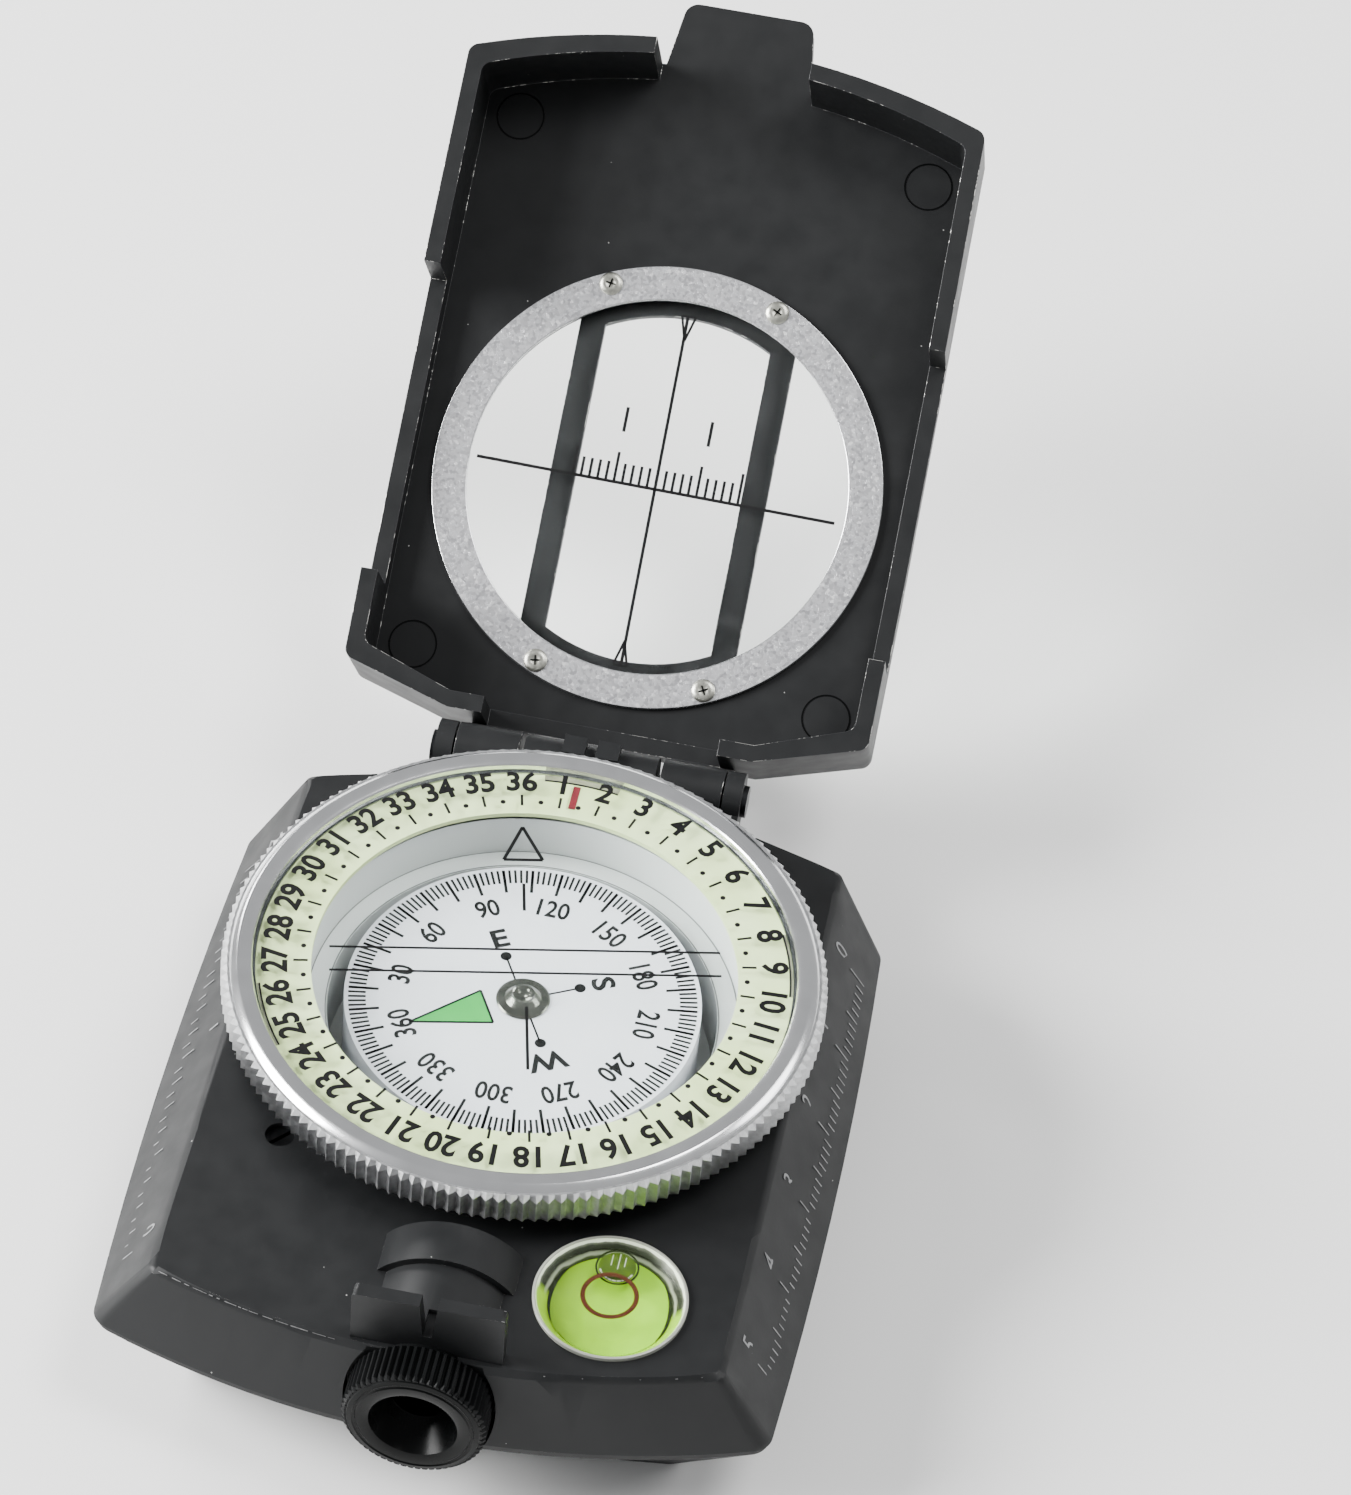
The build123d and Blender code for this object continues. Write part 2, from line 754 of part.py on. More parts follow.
with BuildPart() as lock_screw:
    with BuildSketch(Plane.XY.offset(case_top - lock_sink - lock_t)):
        with PolarLocations(boss_r + lock_at, 1, start_angle=lock_angle):
            Circle(lock_r)
    extrude(amount=lock_t)
    with BuildSketch(Plane.XY.offset(case_top - lock_sink - lock_t / 2)):
        with PolarLocations(boss_r + lock_at, 1, start_angle=lock_angle):
            Rectangle(2 * lock_r, lock_slot)
    extrude(amount=lock_t, mode=Mode.SUBTRACT)

# ---------------------------------------------------------------- eyepiece
with BuildPart() as eyepiece_sleeve:
    extrude(annulus(across_eye(sleeve_s), sleeve_r, sleeve_in), amount=sleeve_l)

with BuildPart() as lens_cell:
    with BuildSketch(eye_section):
        with BuildLine():
            Polyline(
                (cell_s, cell_bore_r),
                (lens_s - retainer_gap, cell_bore_r),
                (lens_s - retainer_gap, lens_r),
                (cell_s + cell_l, lens_r),
                (cell_s + cell_l, cell_r),
                (cell_s, cell_r),
                close=True,
            )
        make_face()
    revolve(axis=eye_axis)

with BuildPart() as eye_lens:
    with BuildSketch(eye_section):
        with BuildLine():
            ThreePointArc(
                (lens_s, lens_r),
                (lens_s - crown(lens_r, lens_sag), lens_r / 2),
                (lens_s - lens_sag, 0),
            )
            Polyline((lens_s - lens_sag, 0), (lens_s + lens_edge_t + lens_sag, 0))
            ThreePointArc(
                (lens_s + lens_edge_t + lens_sag, 0),
                (lens_s + lens_edge_t + crown(lens_r, lens_sag), lens_r / 2),
                (lens_s + lens_edge_t, lens_r),
            )
            Line((lens_s + lens_edge_t, lens_r), (lens_s, lens_r))
        make_face()
    revolve(axis=eye_axis)

with BuildPart() as lens_retainer:
    extrude(
        annulus(across_eye(lens_s + lens_edge_t + retainer_gap), lens_r, retainer_r),
        amount=retainer_t,
    )

with BuildPart() as focus_ring:
    with BuildSketch(eye_section):
        with BuildLine():
            Polyline(
                (neck_s, neck_bore_r),
                (neck_s, cell_r),
                (ring_s, cell_r),
                (ring_s, ring_r - ring_chamfer),
                (ring_s + ring_chamfer, ring_r),
                (ring_s + ring_l - ring_chamfer, ring_r),
                (ring_s + ring_l, ring_r - ring_chamfer),
                (ring_s + ring_l, aperture_r),
                (ring_s + ring_l - throat_s, throat_r),
                (ring_s, throat_r),
                (ring_s, neck_bore_r),
                close=True,
            )
        make_face()
    revolve(axis=eye_axis)

# ---------------------------------------------------------------- lid and hinge pin
with BuildPart() as lid_shell:
    extrude(plan(lid_plane.offset(back_n), flip=True), amount=rim_n - back_n)
    chamfer(lid_shell.faces().sort_by(Axis((0, 0, 0), lid_plane.z_dir))[0].edges(), length=lid_bevel)
    extrude(
        plan(lid_plane.offset(floor_n), lid_wall, flip=True),
        amount=2 * lid_depth,
        mode=Mode.SUBTRACT,
    )
    # low side walls over the bezel, low rear wall between the barrels, gap over the sight block
    with BuildSketch(lid_plane.offset(cut_n)):
        with Locations((0, hinge_y)):
            Rectangle(3 * half_top, 2 * cut_half)
        with Locations((0, lid_rear_d)):
            Rectangle(2 * rear_cut, 4 * lid_wall)
    extrude(amount=2 * lid_depth, mode=Mode.SUBTRACT)
    with BuildSketch(lid_plane.offset(floor_n)):
        with Locations((0, lid_front_d)):
            Rectangle(2 * sight_gap, 4 * lid_wall)
    extrude(amount=2 * lid_depth, mode=Mode.SUBTRACT)
    # thumb tab
    with BuildSketch(lid_plane.offset(back_n)) as tab:
        with BuildLine():
            Polyline(
                (-tab_root_w / 2, lid_front_d - lid_wall),
                (tab_root_w / 2, lid_front_d - lid_wall),
                (tab_w / 2, lid_front_d + tab_l),
                (-tab_w / 2, lid_front_d + tab_l),
                close=True,
            )
        make_face()
        fillet(tab.vertices().group_by(Axis.Y)[-1], radius=tab_r)
    extrude(amount=lid_floor_t)
    # hinge barrels
    for side in (-1, 1):
        extrude(
            lid_web(side * (lid_barrel_in + lid_barrel_out) / 2),
            amount=(lid_barrel_out - lid_barrel_in) / 2,
            both=True,
        )
    with BuildSketch(lid_side(0)):
        Circle(pin_r + running_gap)
    extrude(amount=ear_out, both=True, mode=Mode.SUBTRACT)
    # seat of the window and the three openings under it
    with BuildSketch(lid_plane.offset(floor_n - pane_t)):
        with Locations((0, window_d)):
            Circle(pane_r + pane_gap)
    extrude(amount=pane_t, mode=Mode.SUBTRACT)
    with BuildSketch(lid_plane.offset(back_n)):
        with Locations((0, window_d)):
            Circle(opening_r)
            Rectangle(2 * bar_out, 3 * opening_r, mode=Mode.SUBTRACT)
    extrude(amount=lid_floor_t, mode=Mode.SUBTRACT)
    with BuildSketch(lid_plane.offset(back_n)):
        with Locations((0, window_d)):
            Circle(slot_r)
            Rectangle(2 * bar_in, 3 * opening_r, mode=Mode.INTERSECT)
    extrude(amount=lid_floor_t, mode=Mode.SUBTRACT)
    with BuildSketch(lid_plane.offset(floor_n)):
        with Locations(*ring_screw_places):
            Circle(ring_screw_r)
    extrude(amount=ring_t - ring_screw_l, mode=Mode.SUBTRACT)

with BuildPart() as sight_window:
    with BuildSketch(lid_plane.offset(floor_n - pane_t)):
        with Locations((0, window_d)):
            Circle(pane_r)
    extrude(amount=pane_t)

with BuildPart() as window_ring:
    with BuildSketch(lid_plane.offset(floor_n)):
        with Locations((0, window_d)):
            Circle(ring_out)
            Circle(ring_in, mode=Mode.SUBTRACT)
        with Locations(*ring_screw_places):
            Circle(ring_screw_r, mode=Mode.SUBTRACT)
    extrude(amount=ring_t)

with BuildPart() as ring_screws:
    with BuildSketch(lid_plane.offset(floor_n + ring_t)):
        with Locations(*ring_screw_places):
            Circle(ring_head_r)
    extrude(amount=ring_head_t)
    with BuildSketch(lid_plane.offset(floor_n + ring_t)):
        with Locations(*ring_screw_places):
            Circle(ring_screw_r)
    extrude(amount=-ring_screw_l)

with BuildPart() as hinge_pin:
    with BuildSketch(Plane.YZ):
        with Locations((hinge_y, hinge_z)):
            Circle(pin_r)
    extrude(amount=ear_out, both=True)
    for side in (-1, 1):
        with BuildSketch(Plane.YZ.offset(side * ear_out)):
            with Locations((hinge_y, hinge_z)):
                Circle(pin_r + pin_head)
        extrude(amount=side * pin_head)

# ---------------------------------------------------------------- files
os.makedirs("parts", exist_ok=True)
case_shell.part.label = "case_shell"
export_step(case_shell.part, "parts/case_shell.step")
bottom_cover.part.label = "bottom_cover"
export_step(bottom_cover.part, "parts/bottom_cover.step")
cover_gasket.part.label = "cover_gasket"
export_step(cover_gasket.part, "parts/cover_gasket.step")
cover_screws_set.part.label = "cover_screws"
export_step(cover_screws_set.part, "parts/cover_screws.step")
tripod_bush.part.label = "tripod_bush"
export_step(tripod_bush.part, "parts/tripod_bush.step")
capsule_cup.part.label = "capsule_cup"
export_step(capsule_cup.part, "parts/capsule_cup.step")
capsule_gasket.part.label = "capsule_gasket"
export_step(capsule_gasket.part, "parts/capsule_gasket.step")
capsule_window.part.label = "capsule_window"
export_step(capsule_window.part, "parts/capsule_window.step")
pivot_post.part.label = "pivot_post"
export_step(pivot_post.part, "parts/pivot_post.step")
luminous_ring.part.label = "luminous_ring"
export_step(luminous_ring.part, "parts/luminous_ring.step")
index_mark.part.label = "index_mark"
export_step(index_mark.part, "parts/index_mark.step")
compass_card.part.label = "compass_card"
export_step(compass_card.part, "parts/compass_card.step")
card_magnet.part.label = "card_magnet"
export_step(card_magnet.part, "parts/card_magnet.step")
card_jewel.part.label = "card_jewel"
export_step(card_jewel.part, "parts/card_jewel.step")
bezel_ring.part.label = "bezel_ring"
export_step(bezel_ring.part, "parts/bezel_ring.step")
spring_ring.part.label = "spring_ring"
export_step(spring_ring.part, "parts/spring_ring.step")
dial_disc.part.label = "dial_disc"
export_step(dial_disc.part, "parts/dial_disc.step")
level_cup.part.label = "level_cup"
export_step(level_cup.part, "parts/level_cup.step")
level_fluid.part.label = "level_fluid"
export_step(level_fluid.part, "parts/level_fluid.step")
level_window.part.label = "level_window"
export_step(level_window.part, "parts/level_window.step")
lock_screw.part.label = "lock_screw"
export_step(lock_screw.part, "parts/lock_screw.step")
eyepiece_sleeve.part.label = "eyepiece_sleeve"
export_step(eyepiece_sleeve.part, "parts/eyepiece_sleeve.step")
lens_cell.part.label = "lens_cell"
export_step(lens_cell.part, "parts/lens_cell.step")
eye_lens.part.label = "eye_lens"
export_step(eye_lens.part, "parts/eye_lens.step")
lens_retainer.part.label = "lens_retainer"
export_step(lens_retainer.part, "parts/lens_retainer.step")
focus_ring.part.label = "focus_ring"
export_step(focus_ring.part, "parts/focus_ring.step")
lid_shell.part.label = "lid_shell"
export_step(lid_shell.part, "parts/lid_shell.step")
sight_window.part.label = "sight_window"
export_step(sight_window.part, "parts/sight_window.step")
window_ring.part.label = "window_ring"
export_step(window_ring.part, "parts/window_ring.step")
ring_screws.part.label = "ring_screws"
export_step(ring_screws.part, "parts/ring_screws.step")
hinge_pin.part.label = "hinge_pin"
export_step(hinge_pin.part, "parts/hinge_pin.step")
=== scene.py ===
import logging
import math
import random
from dataclasses import dataclass, field
from enum import Enum
from typing import Any, Iterable, Mapping, Sequence

import bmesh
import bpy
from mathutils import Matrix, Vector


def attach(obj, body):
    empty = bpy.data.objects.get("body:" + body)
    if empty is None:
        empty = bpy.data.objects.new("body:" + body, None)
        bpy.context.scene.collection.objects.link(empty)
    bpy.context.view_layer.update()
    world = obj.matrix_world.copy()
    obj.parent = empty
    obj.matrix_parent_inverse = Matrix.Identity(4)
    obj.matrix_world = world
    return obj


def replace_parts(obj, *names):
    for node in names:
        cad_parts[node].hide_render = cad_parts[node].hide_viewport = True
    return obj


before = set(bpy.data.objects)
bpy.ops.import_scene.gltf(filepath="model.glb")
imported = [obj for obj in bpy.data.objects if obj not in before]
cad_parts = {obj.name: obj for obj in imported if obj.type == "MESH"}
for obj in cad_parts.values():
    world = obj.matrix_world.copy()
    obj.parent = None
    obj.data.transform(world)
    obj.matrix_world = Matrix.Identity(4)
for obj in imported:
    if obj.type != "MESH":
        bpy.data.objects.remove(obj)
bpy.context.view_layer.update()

# Looks of a folding sighting compass, built round its packed mechanical model.
# Everything is in metres in the frame of that model. Sizes below are written in millimetres
# and turned to metres with MM.

MM = 0.001
LOG = logging.getLogger("compass")

Point = tuple[float, float]
Tree = bpy.types.NodeTree
Node = bpy.types.Node
Socket = bpy.types.NodeSocket
Mesh = bpy.types.Mesh


# ---------------------------------------------------------------- colours and nodes
def linear(hex_colour: str) -> tuple[float, float, float, float]:
    """Turns an sRGB hex colour into the linear colour that a shader takes.

    Args:
        hex_colour: six hex digits.

    Returns:
        Linear red, green, blue and an alpha of one.
    """
    channels = [int(hex_colour[i : i + 2], 16) / 255 for i in (0, 2, 4)]
    red, green, blue = (c / 12.92 if c <= 0.04045 else ((c + 0.055) / 1.055) ** 2.4 for c in channels)
    return red, green, blue, 1.0


def per_mm(size: float) -> float:
    """Gives the texture scale at which one cell of a pattern is `size` millimetres wide."""
    return 1 / (size * MM)


def add_node(
    tree: Tree,
    kind: str,
    settings: Mapping[str, Any] | None = None,
    inputs: Mapping[str | int, Any] | None = None,
) -> Node:
    """Adds a node to a tree, with its settings and its inputs.

    Args:
        tree: shader or geometry tree.
        kind: Blender's name of the node type.
        settings: node properties by name.
        inputs: a plain value or an output socket for each input, by name or by place.

    Returns:
        The new node.
    """
    node = tree.nodes.new(kind)
    for name, value in (settings or {}).items():
        setattr(node, name, value)
    for key, value in (inputs or {}).items():
        if isinstance(value, Socket):
            tree.links.new(value, node.inputs[key])
        else:
            node.inputs[key].default_value = value
    return node


def noise(tree: Tree, place: Socket, size: float, detail: float, rough: float = 0.5) -> Socket:
    """Adds cloudy noise.

    Args:
        tree: the material's tree.
        place: object coordinates.
        size: width of one cloud in millimetres.
        detail: number of finer layers.
        rough: strength of each finer layer.

    Returns:
        The noise's value.
    """
    inputs = {"Vector": place, "Scale": per_mm(size), "Detail": detail, "Roughness": rough}
    return add_node(tree, "ShaderNodeTexNoise", inputs=inputs).outputs["Fac"]


def cells(tree: Tree, place: Socket, size: float) -> tuple[Socket, Socket]:
    """Adds a pattern of round cells.

    Args:
        tree: the material's tree.
        place: object coordinates.
        size: width of one cell in millimetres.

    Returns:
        The distance from the middle of a cell, and a random value for each cell.
    """
    pattern = add_node(tree, "ShaderNodeTexVoronoi", inputs={"Vector": place, "Scale": per_mm(size)}).outputs
    value = add_node(tree, "ShaderNodeSeparateColor", inputs={"Color": pattern["Color"]}).outputs["Red"]
    return pattern["Distance"], value


def maths(tree: Tree, operation: str, *values: Socket | float) -> Socket:
    """Adds a sum, product or test of up to three values.

    Args:
        tree: any node tree.
        operation: Blender's name of the operation.
        values: sockets or numbers, in order.

    Returns:
        The result.
    """
    return add_node(tree, "ShaderNodeMath", {"operation": operation}, dict(enumerate(values))).outputs[0]


def remap(tree: Tree, value: Socket, start: Point, end: Point = (0.0, 1.0)) -> Socket:
    """Stretches one range of a value over another, and stops at its ends.

    Args:
        tree: the material's tree.
        value: what is stretched.
        start: low and high end of the range it has.
        end: what those ends become.

    Returns:
        The stretched value.
    """
    ends = {"From Min": start[0], "From Max": start[1], "To Min": end[0], "To Max": end[1]}
    return add_node(tree, "ShaderNodeMapRange", inputs={"Value": value, **ends}).outputs["Result"]


def blend(tree: Tree, share: Socket | float, first: Any, second: Any, mode: str = "MIX") -> Socket:
    """Mixes two colours.

    Args:
        tree: the material's tree.
        share: share of the second colour.
        first: socket or linear colour.
        second: socket or linear colour.
        mode: Blender's name of the way of mixing.

    Returns:
        The mixed colour.
    """
    settings = {"data_type": "RGBA", "blend_type": mode}
    mix = add_node(tree, "ShaderNodeMix", settings, {"Factor": share, "A": first, "B": second})
    return mix.outputs["Result"]


def ramp(tree: Tree, source: Socket, stops: Sequence[tuple[float, str]]) -> Socket:
    """Adds a colour ramp that reads a socket.

    Args:
        tree: the material's tree.
        source: the value that the ramp reads.
        stops: place and hex colour of each stop, in order.

    Returns:
        The ramp's colour.
    """
    node = add_node(tree, "ShaderNodeValToRGB", inputs={"Fac": source})
    elements = node.color_ramp.elements
    while len(elements) < len(stops):
        elements.new(1.0)
    for element, (place, colour) in zip(elements, stops):
        element.position = place
        element.color = linear(colour)
    return node.outputs["Color"]


def add_bump(tree: Tree, surface: Node, height: Socket, micrometres: float, strength: float = 1.0) -> None:
    """Makes a surface uneven.

    Args:
        tree: the material's tree.
        surface: the Principled node.
        height: height of the surface, from 0 to 1.
        micrometres: how high 1 is.
        strength: how much of it shows.
    """
    inputs = {"Height": height, "Strength": strength, "Distance": micrometres * 1e-6}
    bump = add_node(tree, "ShaderNodeBump", inputs=inputs)
    tree.links.new(bump.outputs["Normal"], surface.inputs["Normal"])


# ---------------------------------------------------------------- finishes
@dataclass(frozen=True)
class Finish:
    """A surface finish. Subclasses add what is special to how the surface was made."""

    name: str
    colour: str
    roughness: float
    metallic: float = 0.0
    ior: float = 1.5
    mottle_mm: float = 3.0
    mottle: float = 0.12
    grain_mm: float = 0.25
    grain_um: float = 6.0
    coat: float = 0.0
    specular: float = 0.5

    def make(self) -> bpy.types.Material:
        """Makes the material, or returns it if it was made before.

        Returns:
            The Blender material of this finish.
        """
        known = bpy.data.materials.get(self.name)
        if known is not None:
            return known
        material = bpy.data.materials.new(self.name)
        material.use_nodes = True
        tree = material.node_tree
        tree.nodes.clear()
        place = add_node(tree, "ShaderNodeTexCoord").outputs["Object"]
        settings = {
            "Roughness": self.roughness,
            "Metallic": self.metallic,
            "Coat Weight": self.coat,
            "Specular IOR Level": self.specular,
        }
        if not self.metallic:
            settings["IOR"] = self.ior
        surface = add_node(tree, "ShaderNodeBsdfPrincipled", inputs=settings)
        self.dress(tree, place, surface)
        add_node(tree, "ShaderNodeOutputMaterial", inputs={"Surface": self.shown(tree, surface)})
        return material

    def shown(self, tree: Tree, surface: Node) -> Socket:
        """Gives the shader socket that the material shows."""
        return surface.outputs["BSDF"]

    def dress(self, tree: Tree, place: Socket, surface: Node) -> None:
        """Gives the surface a cloudy tone and a fine grain.

        Args:
            tree: the material's tree.
            place: object coordinates.
            surface: the Principled node.
        """
        clouds = noise(tree, place, self.mottle_mm, 4.0)
        middle = (0.3, 0.7)
        tone = remap(tree, clouds, middle, (1 - self.mottle, 1.0))
        tint = blend(tree, 1.0, linear(self.colour), tone, "MULTIPLY")
        tree.links.new(tint, surface.inputs["Base Color"])
        sheen = remap(tree, clouds, middle, (self.roughness * 0.9, min(1.0, self.roughness * 1.12)))
        tree.links.new(sheen, surface.inputs["Roughness"])
        self.grain(tree, place, surface)

    def grain(self, tree: Tree, place: Socket, surface: Node) -> None:
        """Adds the fine unevenness of the surface as a bump `grain_um` micrometres high."""
        add_bump(tree, surface, noise(tree, place, self.grain_mm, 3.0), self.grain_um)


@dataclass(frozen=True)
class SprayedEnamel(Finish):
    """Satin enamel sprayed on a die casting: a soft sheen, faint orange peel and specks of dust."""

    speck_mm: float = 1.4
    speck_share: float = 0.055
    speck_rarity: float = 0.93
    speck_colour: str = "9a9a98"

    def dress(self, tree: Tree, place: Socket, surface: Node) -> None:
        """Adds rare pale dust specks over the cloudy enamel.

        Args:
            tree: the material's tree.
            place: object coordinates.
            surface: the Principled node.
        """
        super().dress(tree, place, surface)
        base = surface.inputs["Base Color"].links[0].from_socket
        distance, value = cells(tree, place, self.speck_mm)
        near = maths(tree, "LESS_THAN", distance, self.speck_share)
        rare = maths(tree, "GREATER_THAN", value, self.speck_rarity)
        speck = maths(tree, "MULTIPLY", near, rare)
        dusted = blend(tree, speck, base, linear(self.speck_colour))
        tree.links.new(dusted, surface.inputs["Base Color"])


@dataclass(frozen=True)
class WornEdge(Finish):
    """The enamel along an edge, rubbed through in spots to the bright casting under it."""

    bare_colour: str = "c9c8c4"
    chip_mm: float = 0.55
    area_mm: float = 4.95
    wear: float = 0.5

    def dress(self, tree: Tree, place: Socket, surface: Node) -> None:
        """Mixes bare metal into the enamel where two scales of noise are both high.

        Args:
            tree: the material's tree.
            place: object coordinates.
            surface: the Principled node.
        """
        super().dress(tree, place, surface)
        base = surface.inputs["Base Color"].links[0].from_socket
        chips = noise(tree, place, self.chip_mm, 2.0, 0.7)
        both = maths(tree, "MULTIPLY", chips, noise(tree, place, self.area_mm, 1.0))
        least = 0.36 - 0.12 * self.wear
        bare = remap(tree, both, (least, least + 0.04))
        tree.links.new(blend(tree, bare, base, linear(self.bare_colour)), surface.inputs["Base Color"])
        tree.links.new(bare, surface.inputs["Metallic"])


@dataclass(frozen=True)
class TurnedMetal(Finish):
    """Metal turned on a lathe: fine rings about an upright axis catch the light in streaks."""

    ring_mm: float = 0.16
    ring_um: float = 5.0

    def grain(self, tree: Tree, place: Socket, surface: Node) -> None:
        """Adds tool marks: rings of uneven depth about the Z axis.

        Args:
            tree: the material's tree.
            place: object coordinates.
            surface: the Principled node.
        """
        multiply = {"operation": "MULTIPLY"}
        flat = add_node(tree, "ShaderNodeVectorMath", multiply, {0: place, 1: (1.0, 1.0, 0.0)}).outputs[0]
        radius = add_node(tree, "ShaderNodeVectorMath", {"operation": "LENGTH"}, {0: flat}).outputs["Value"]
        level = add_node(tree, "ShaderNodeSeparateXYZ", inputs={0: place}).outputs["Z"]
        across = add_node(tree, "ShaderNodeCombineXYZ", inputs={"X": radius, "Y": level}).outputs[0]
        marks = add_node(
            tree,
            "ShaderNodeTexNoise",
            {"noise_dimensions": "2D"},
            {"Vector": across, "Scale": per_mm(self.ring_mm), "Detail": 2.0},
        ).outputs["Fac"]
        add_bump(tree, surface, marks, self.ring_um)


@dataclass(frozen=True)
class BlastedMetal(Finish):
    """Bead-blasted aluminium: a frosty grey with grains that sparkle."""

    grit_mm: float = 0.3
    grit_um: float = 25.0
    glint: float = 0.55

    def dress(self, tree: Tree, place: Socket, surface: Node) -> None:
        """Gives every grain its own tone, polish and tilt.

        Args:
            tree: the material's tree.
            place: object coordinates.
            surface: the Principled node.
        """
        tone = cells(tree, place, self.grit_mm)[1]
        grains = ramp(tree, tone, ((0.0, "8f8f92"), (0.6, self.colour), (0.92, "d2d3d6"), (1.0, "ffffff")))
        tree.links.new(grains, surface.inputs["Base Color"])
        polish = remap(tree, tone, (0.0, 1.0), (self.roughness + 0.1, self.roughness - 0.12))
        tree.links.new(polish, surface.inputs["Roughness"])
        add_bump(tree, surface, tone, self.grit_um, self.glint)


@dataclass(frozen=True)
class ClearPane(Finish):
    """Clear moulded acrylic or glass. Lamps reach what lies behind it, as through a thin window."""

    def dress(self, tree: Tree, place: Socket, surface: Node) -> None:
        """Makes the Principled shader a clear, smooth glass.

        Args:
            tree: the material's tree. It is not used.
            place: object coordinates. It is not used.
            surface: the Principled node.
        """
        surface.inputs["Base Color"].default_value = linear(self.colour)
        surface.inputs["Transmission Weight"].default_value = 1.0

    def shown(self, tree: Tree, surface: Node) -> Socket:
        """Lets the rays from lamps through, tinted a little.

        Args:
            tree: the material's tree.
            surface: the Principled node.

        Returns:
            The mixed shader.
        """
        passing = add_node(tree, "ShaderNodeBsdfTransparent", inputs={"Color": linear(self.colour)})
        lamp_ray = add_node(tree, "ShaderNodeLightPath").outputs["Is Shadow Ray"]
        inputs = {0: lamp_ray, 1: surface.outputs["BSDF"], 2: passing.outputs["BSDF"]}
        return add_node(tree, "ShaderNodeMixShader", inputs=inputs).outputs["Shader"]


@dataclass(frozen=True)
class GlowPaint(Finish):
    """Luminous paint laid in a channel: chalky pale green, slightly uneven in strength."""

    edge_colour: str = "d9e3c1"
    drift_mm: float = 9.0

    def dress(self, tree: Tree, place: Socket, surface: Node) -> None:
        """Drifts between two pale greens along the ring.

        Args:
            tree: the material's tree.
            place: object coordinates.
            surface: the Principled node.
        """
        drift = noise(tree, place, self.drift_mm, 2.0)
        tint = ramp(tree, drift, ((0.35, self.colour), (0.65, self.edge_colour)))
        tree.links.new(tint, surface.inputs["Base Color"])
        self.grain(tree, place, surface)


@dataclass(frozen=True)
class DyedLiquid(Finish):
    """The dyed liquid of the bubble level, with painted light across it: brighter towards +X where the light
    gathers, painted shade towards -X.
    """

    deep_colour: str = "5f7f12"
    deep_x: float = 9.1
    bright_x: float = 20.1
    wave_mm: float = 5.0

    def dress(self, tree: Tree, place: Socket, surface: Node) -> None:
        """Paints light and shade across the liquid's width, unevenly.

        Args:
            tree: the material's tree.
            place: object coordinates.
            surface: the Principled node.
        """
        across = add_node(tree, "ShaderNodeSeparateXYZ", inputs={0: place}).outputs["X"]
        # painted light and shade: the colour darkens towards -X and brightens towards +X
        share = remap(tree, across, (self.deep_x * MM, self.bright_x * MM))
        wave = noise(tree, place, self.wave_mm, 1.0)
        uneven = maths(tree, "SUBTRACT", maths(tree, "MULTIPLY_ADD", wave, 0.5, share), 0.25)
        tint = ramp(tree, uneven, ((0.1, self.deep_colour), (0.85, self.colour)))
        tree.links.new(tint, surface.inputs["Base Color"])


@dataclass(frozen=True)
class LevelWall(Finish):
    """Sloping wall of the bubble level, with painted shade and reflections: dark and pale bands behind, a
    painted highlight at the top, the liquid's colour in front.
    """

    bright_colour: str = "d5d7cf"
    near_colour: str = "84ac1c"
    front_y: float = -33.19
    behind_y: float = -32.19
    low_z: float = 16.65
    high_z: float = 18.1
    streak_mm: float = 1.6

    def dress(self, tree: Tree, place: Socket, surface: Node) -> None:
        """Paints shade and reflections on the wall in bands up its height.

        Args:
            tree: the material's tree.
            place: object coordinates.
            surface: the Principled node.
        """
        level = add_node(tree, "ShaderNodeSeparateXYZ", inputs={0: place}).outputs
        share = remap(tree, level["Z"], (self.low_z * MM, self.high_z * MM))
        uneven = maths(tree, "MULTIPLY_ADD", noise(tree, place, self.streak_mm, 3.0), 0.3, share)
        # painted shade and reflections: dark and pale bands behind, a painted highlight at the top
        behind = (
            (0.1, self.colour),
            (0.3, "33362b"),
            (0.4, "8f9188"),
            (0.5, "77796f"),
            (0.6, self.colour),
            (0.85, "292b25"),
            (0.98, "60625a"),
            (1.0, self.bright_colour),
        )
        in_front = ((0.0, self.near_colour), (0.85, self.near_colour), (1.0, self.bright_colour))
        # painted by side: the near half takes the liquid's colour, the far half the shaded bands
        side = remap(tree, level["Y"], (self.front_y * MM, self.behind_y * MM))
        tint = blend(tree, side, ramp(tree, share, in_front), ramp(tree, uneven, behind))
        tree.links.new(tint, surface.inputs["Base Color"])


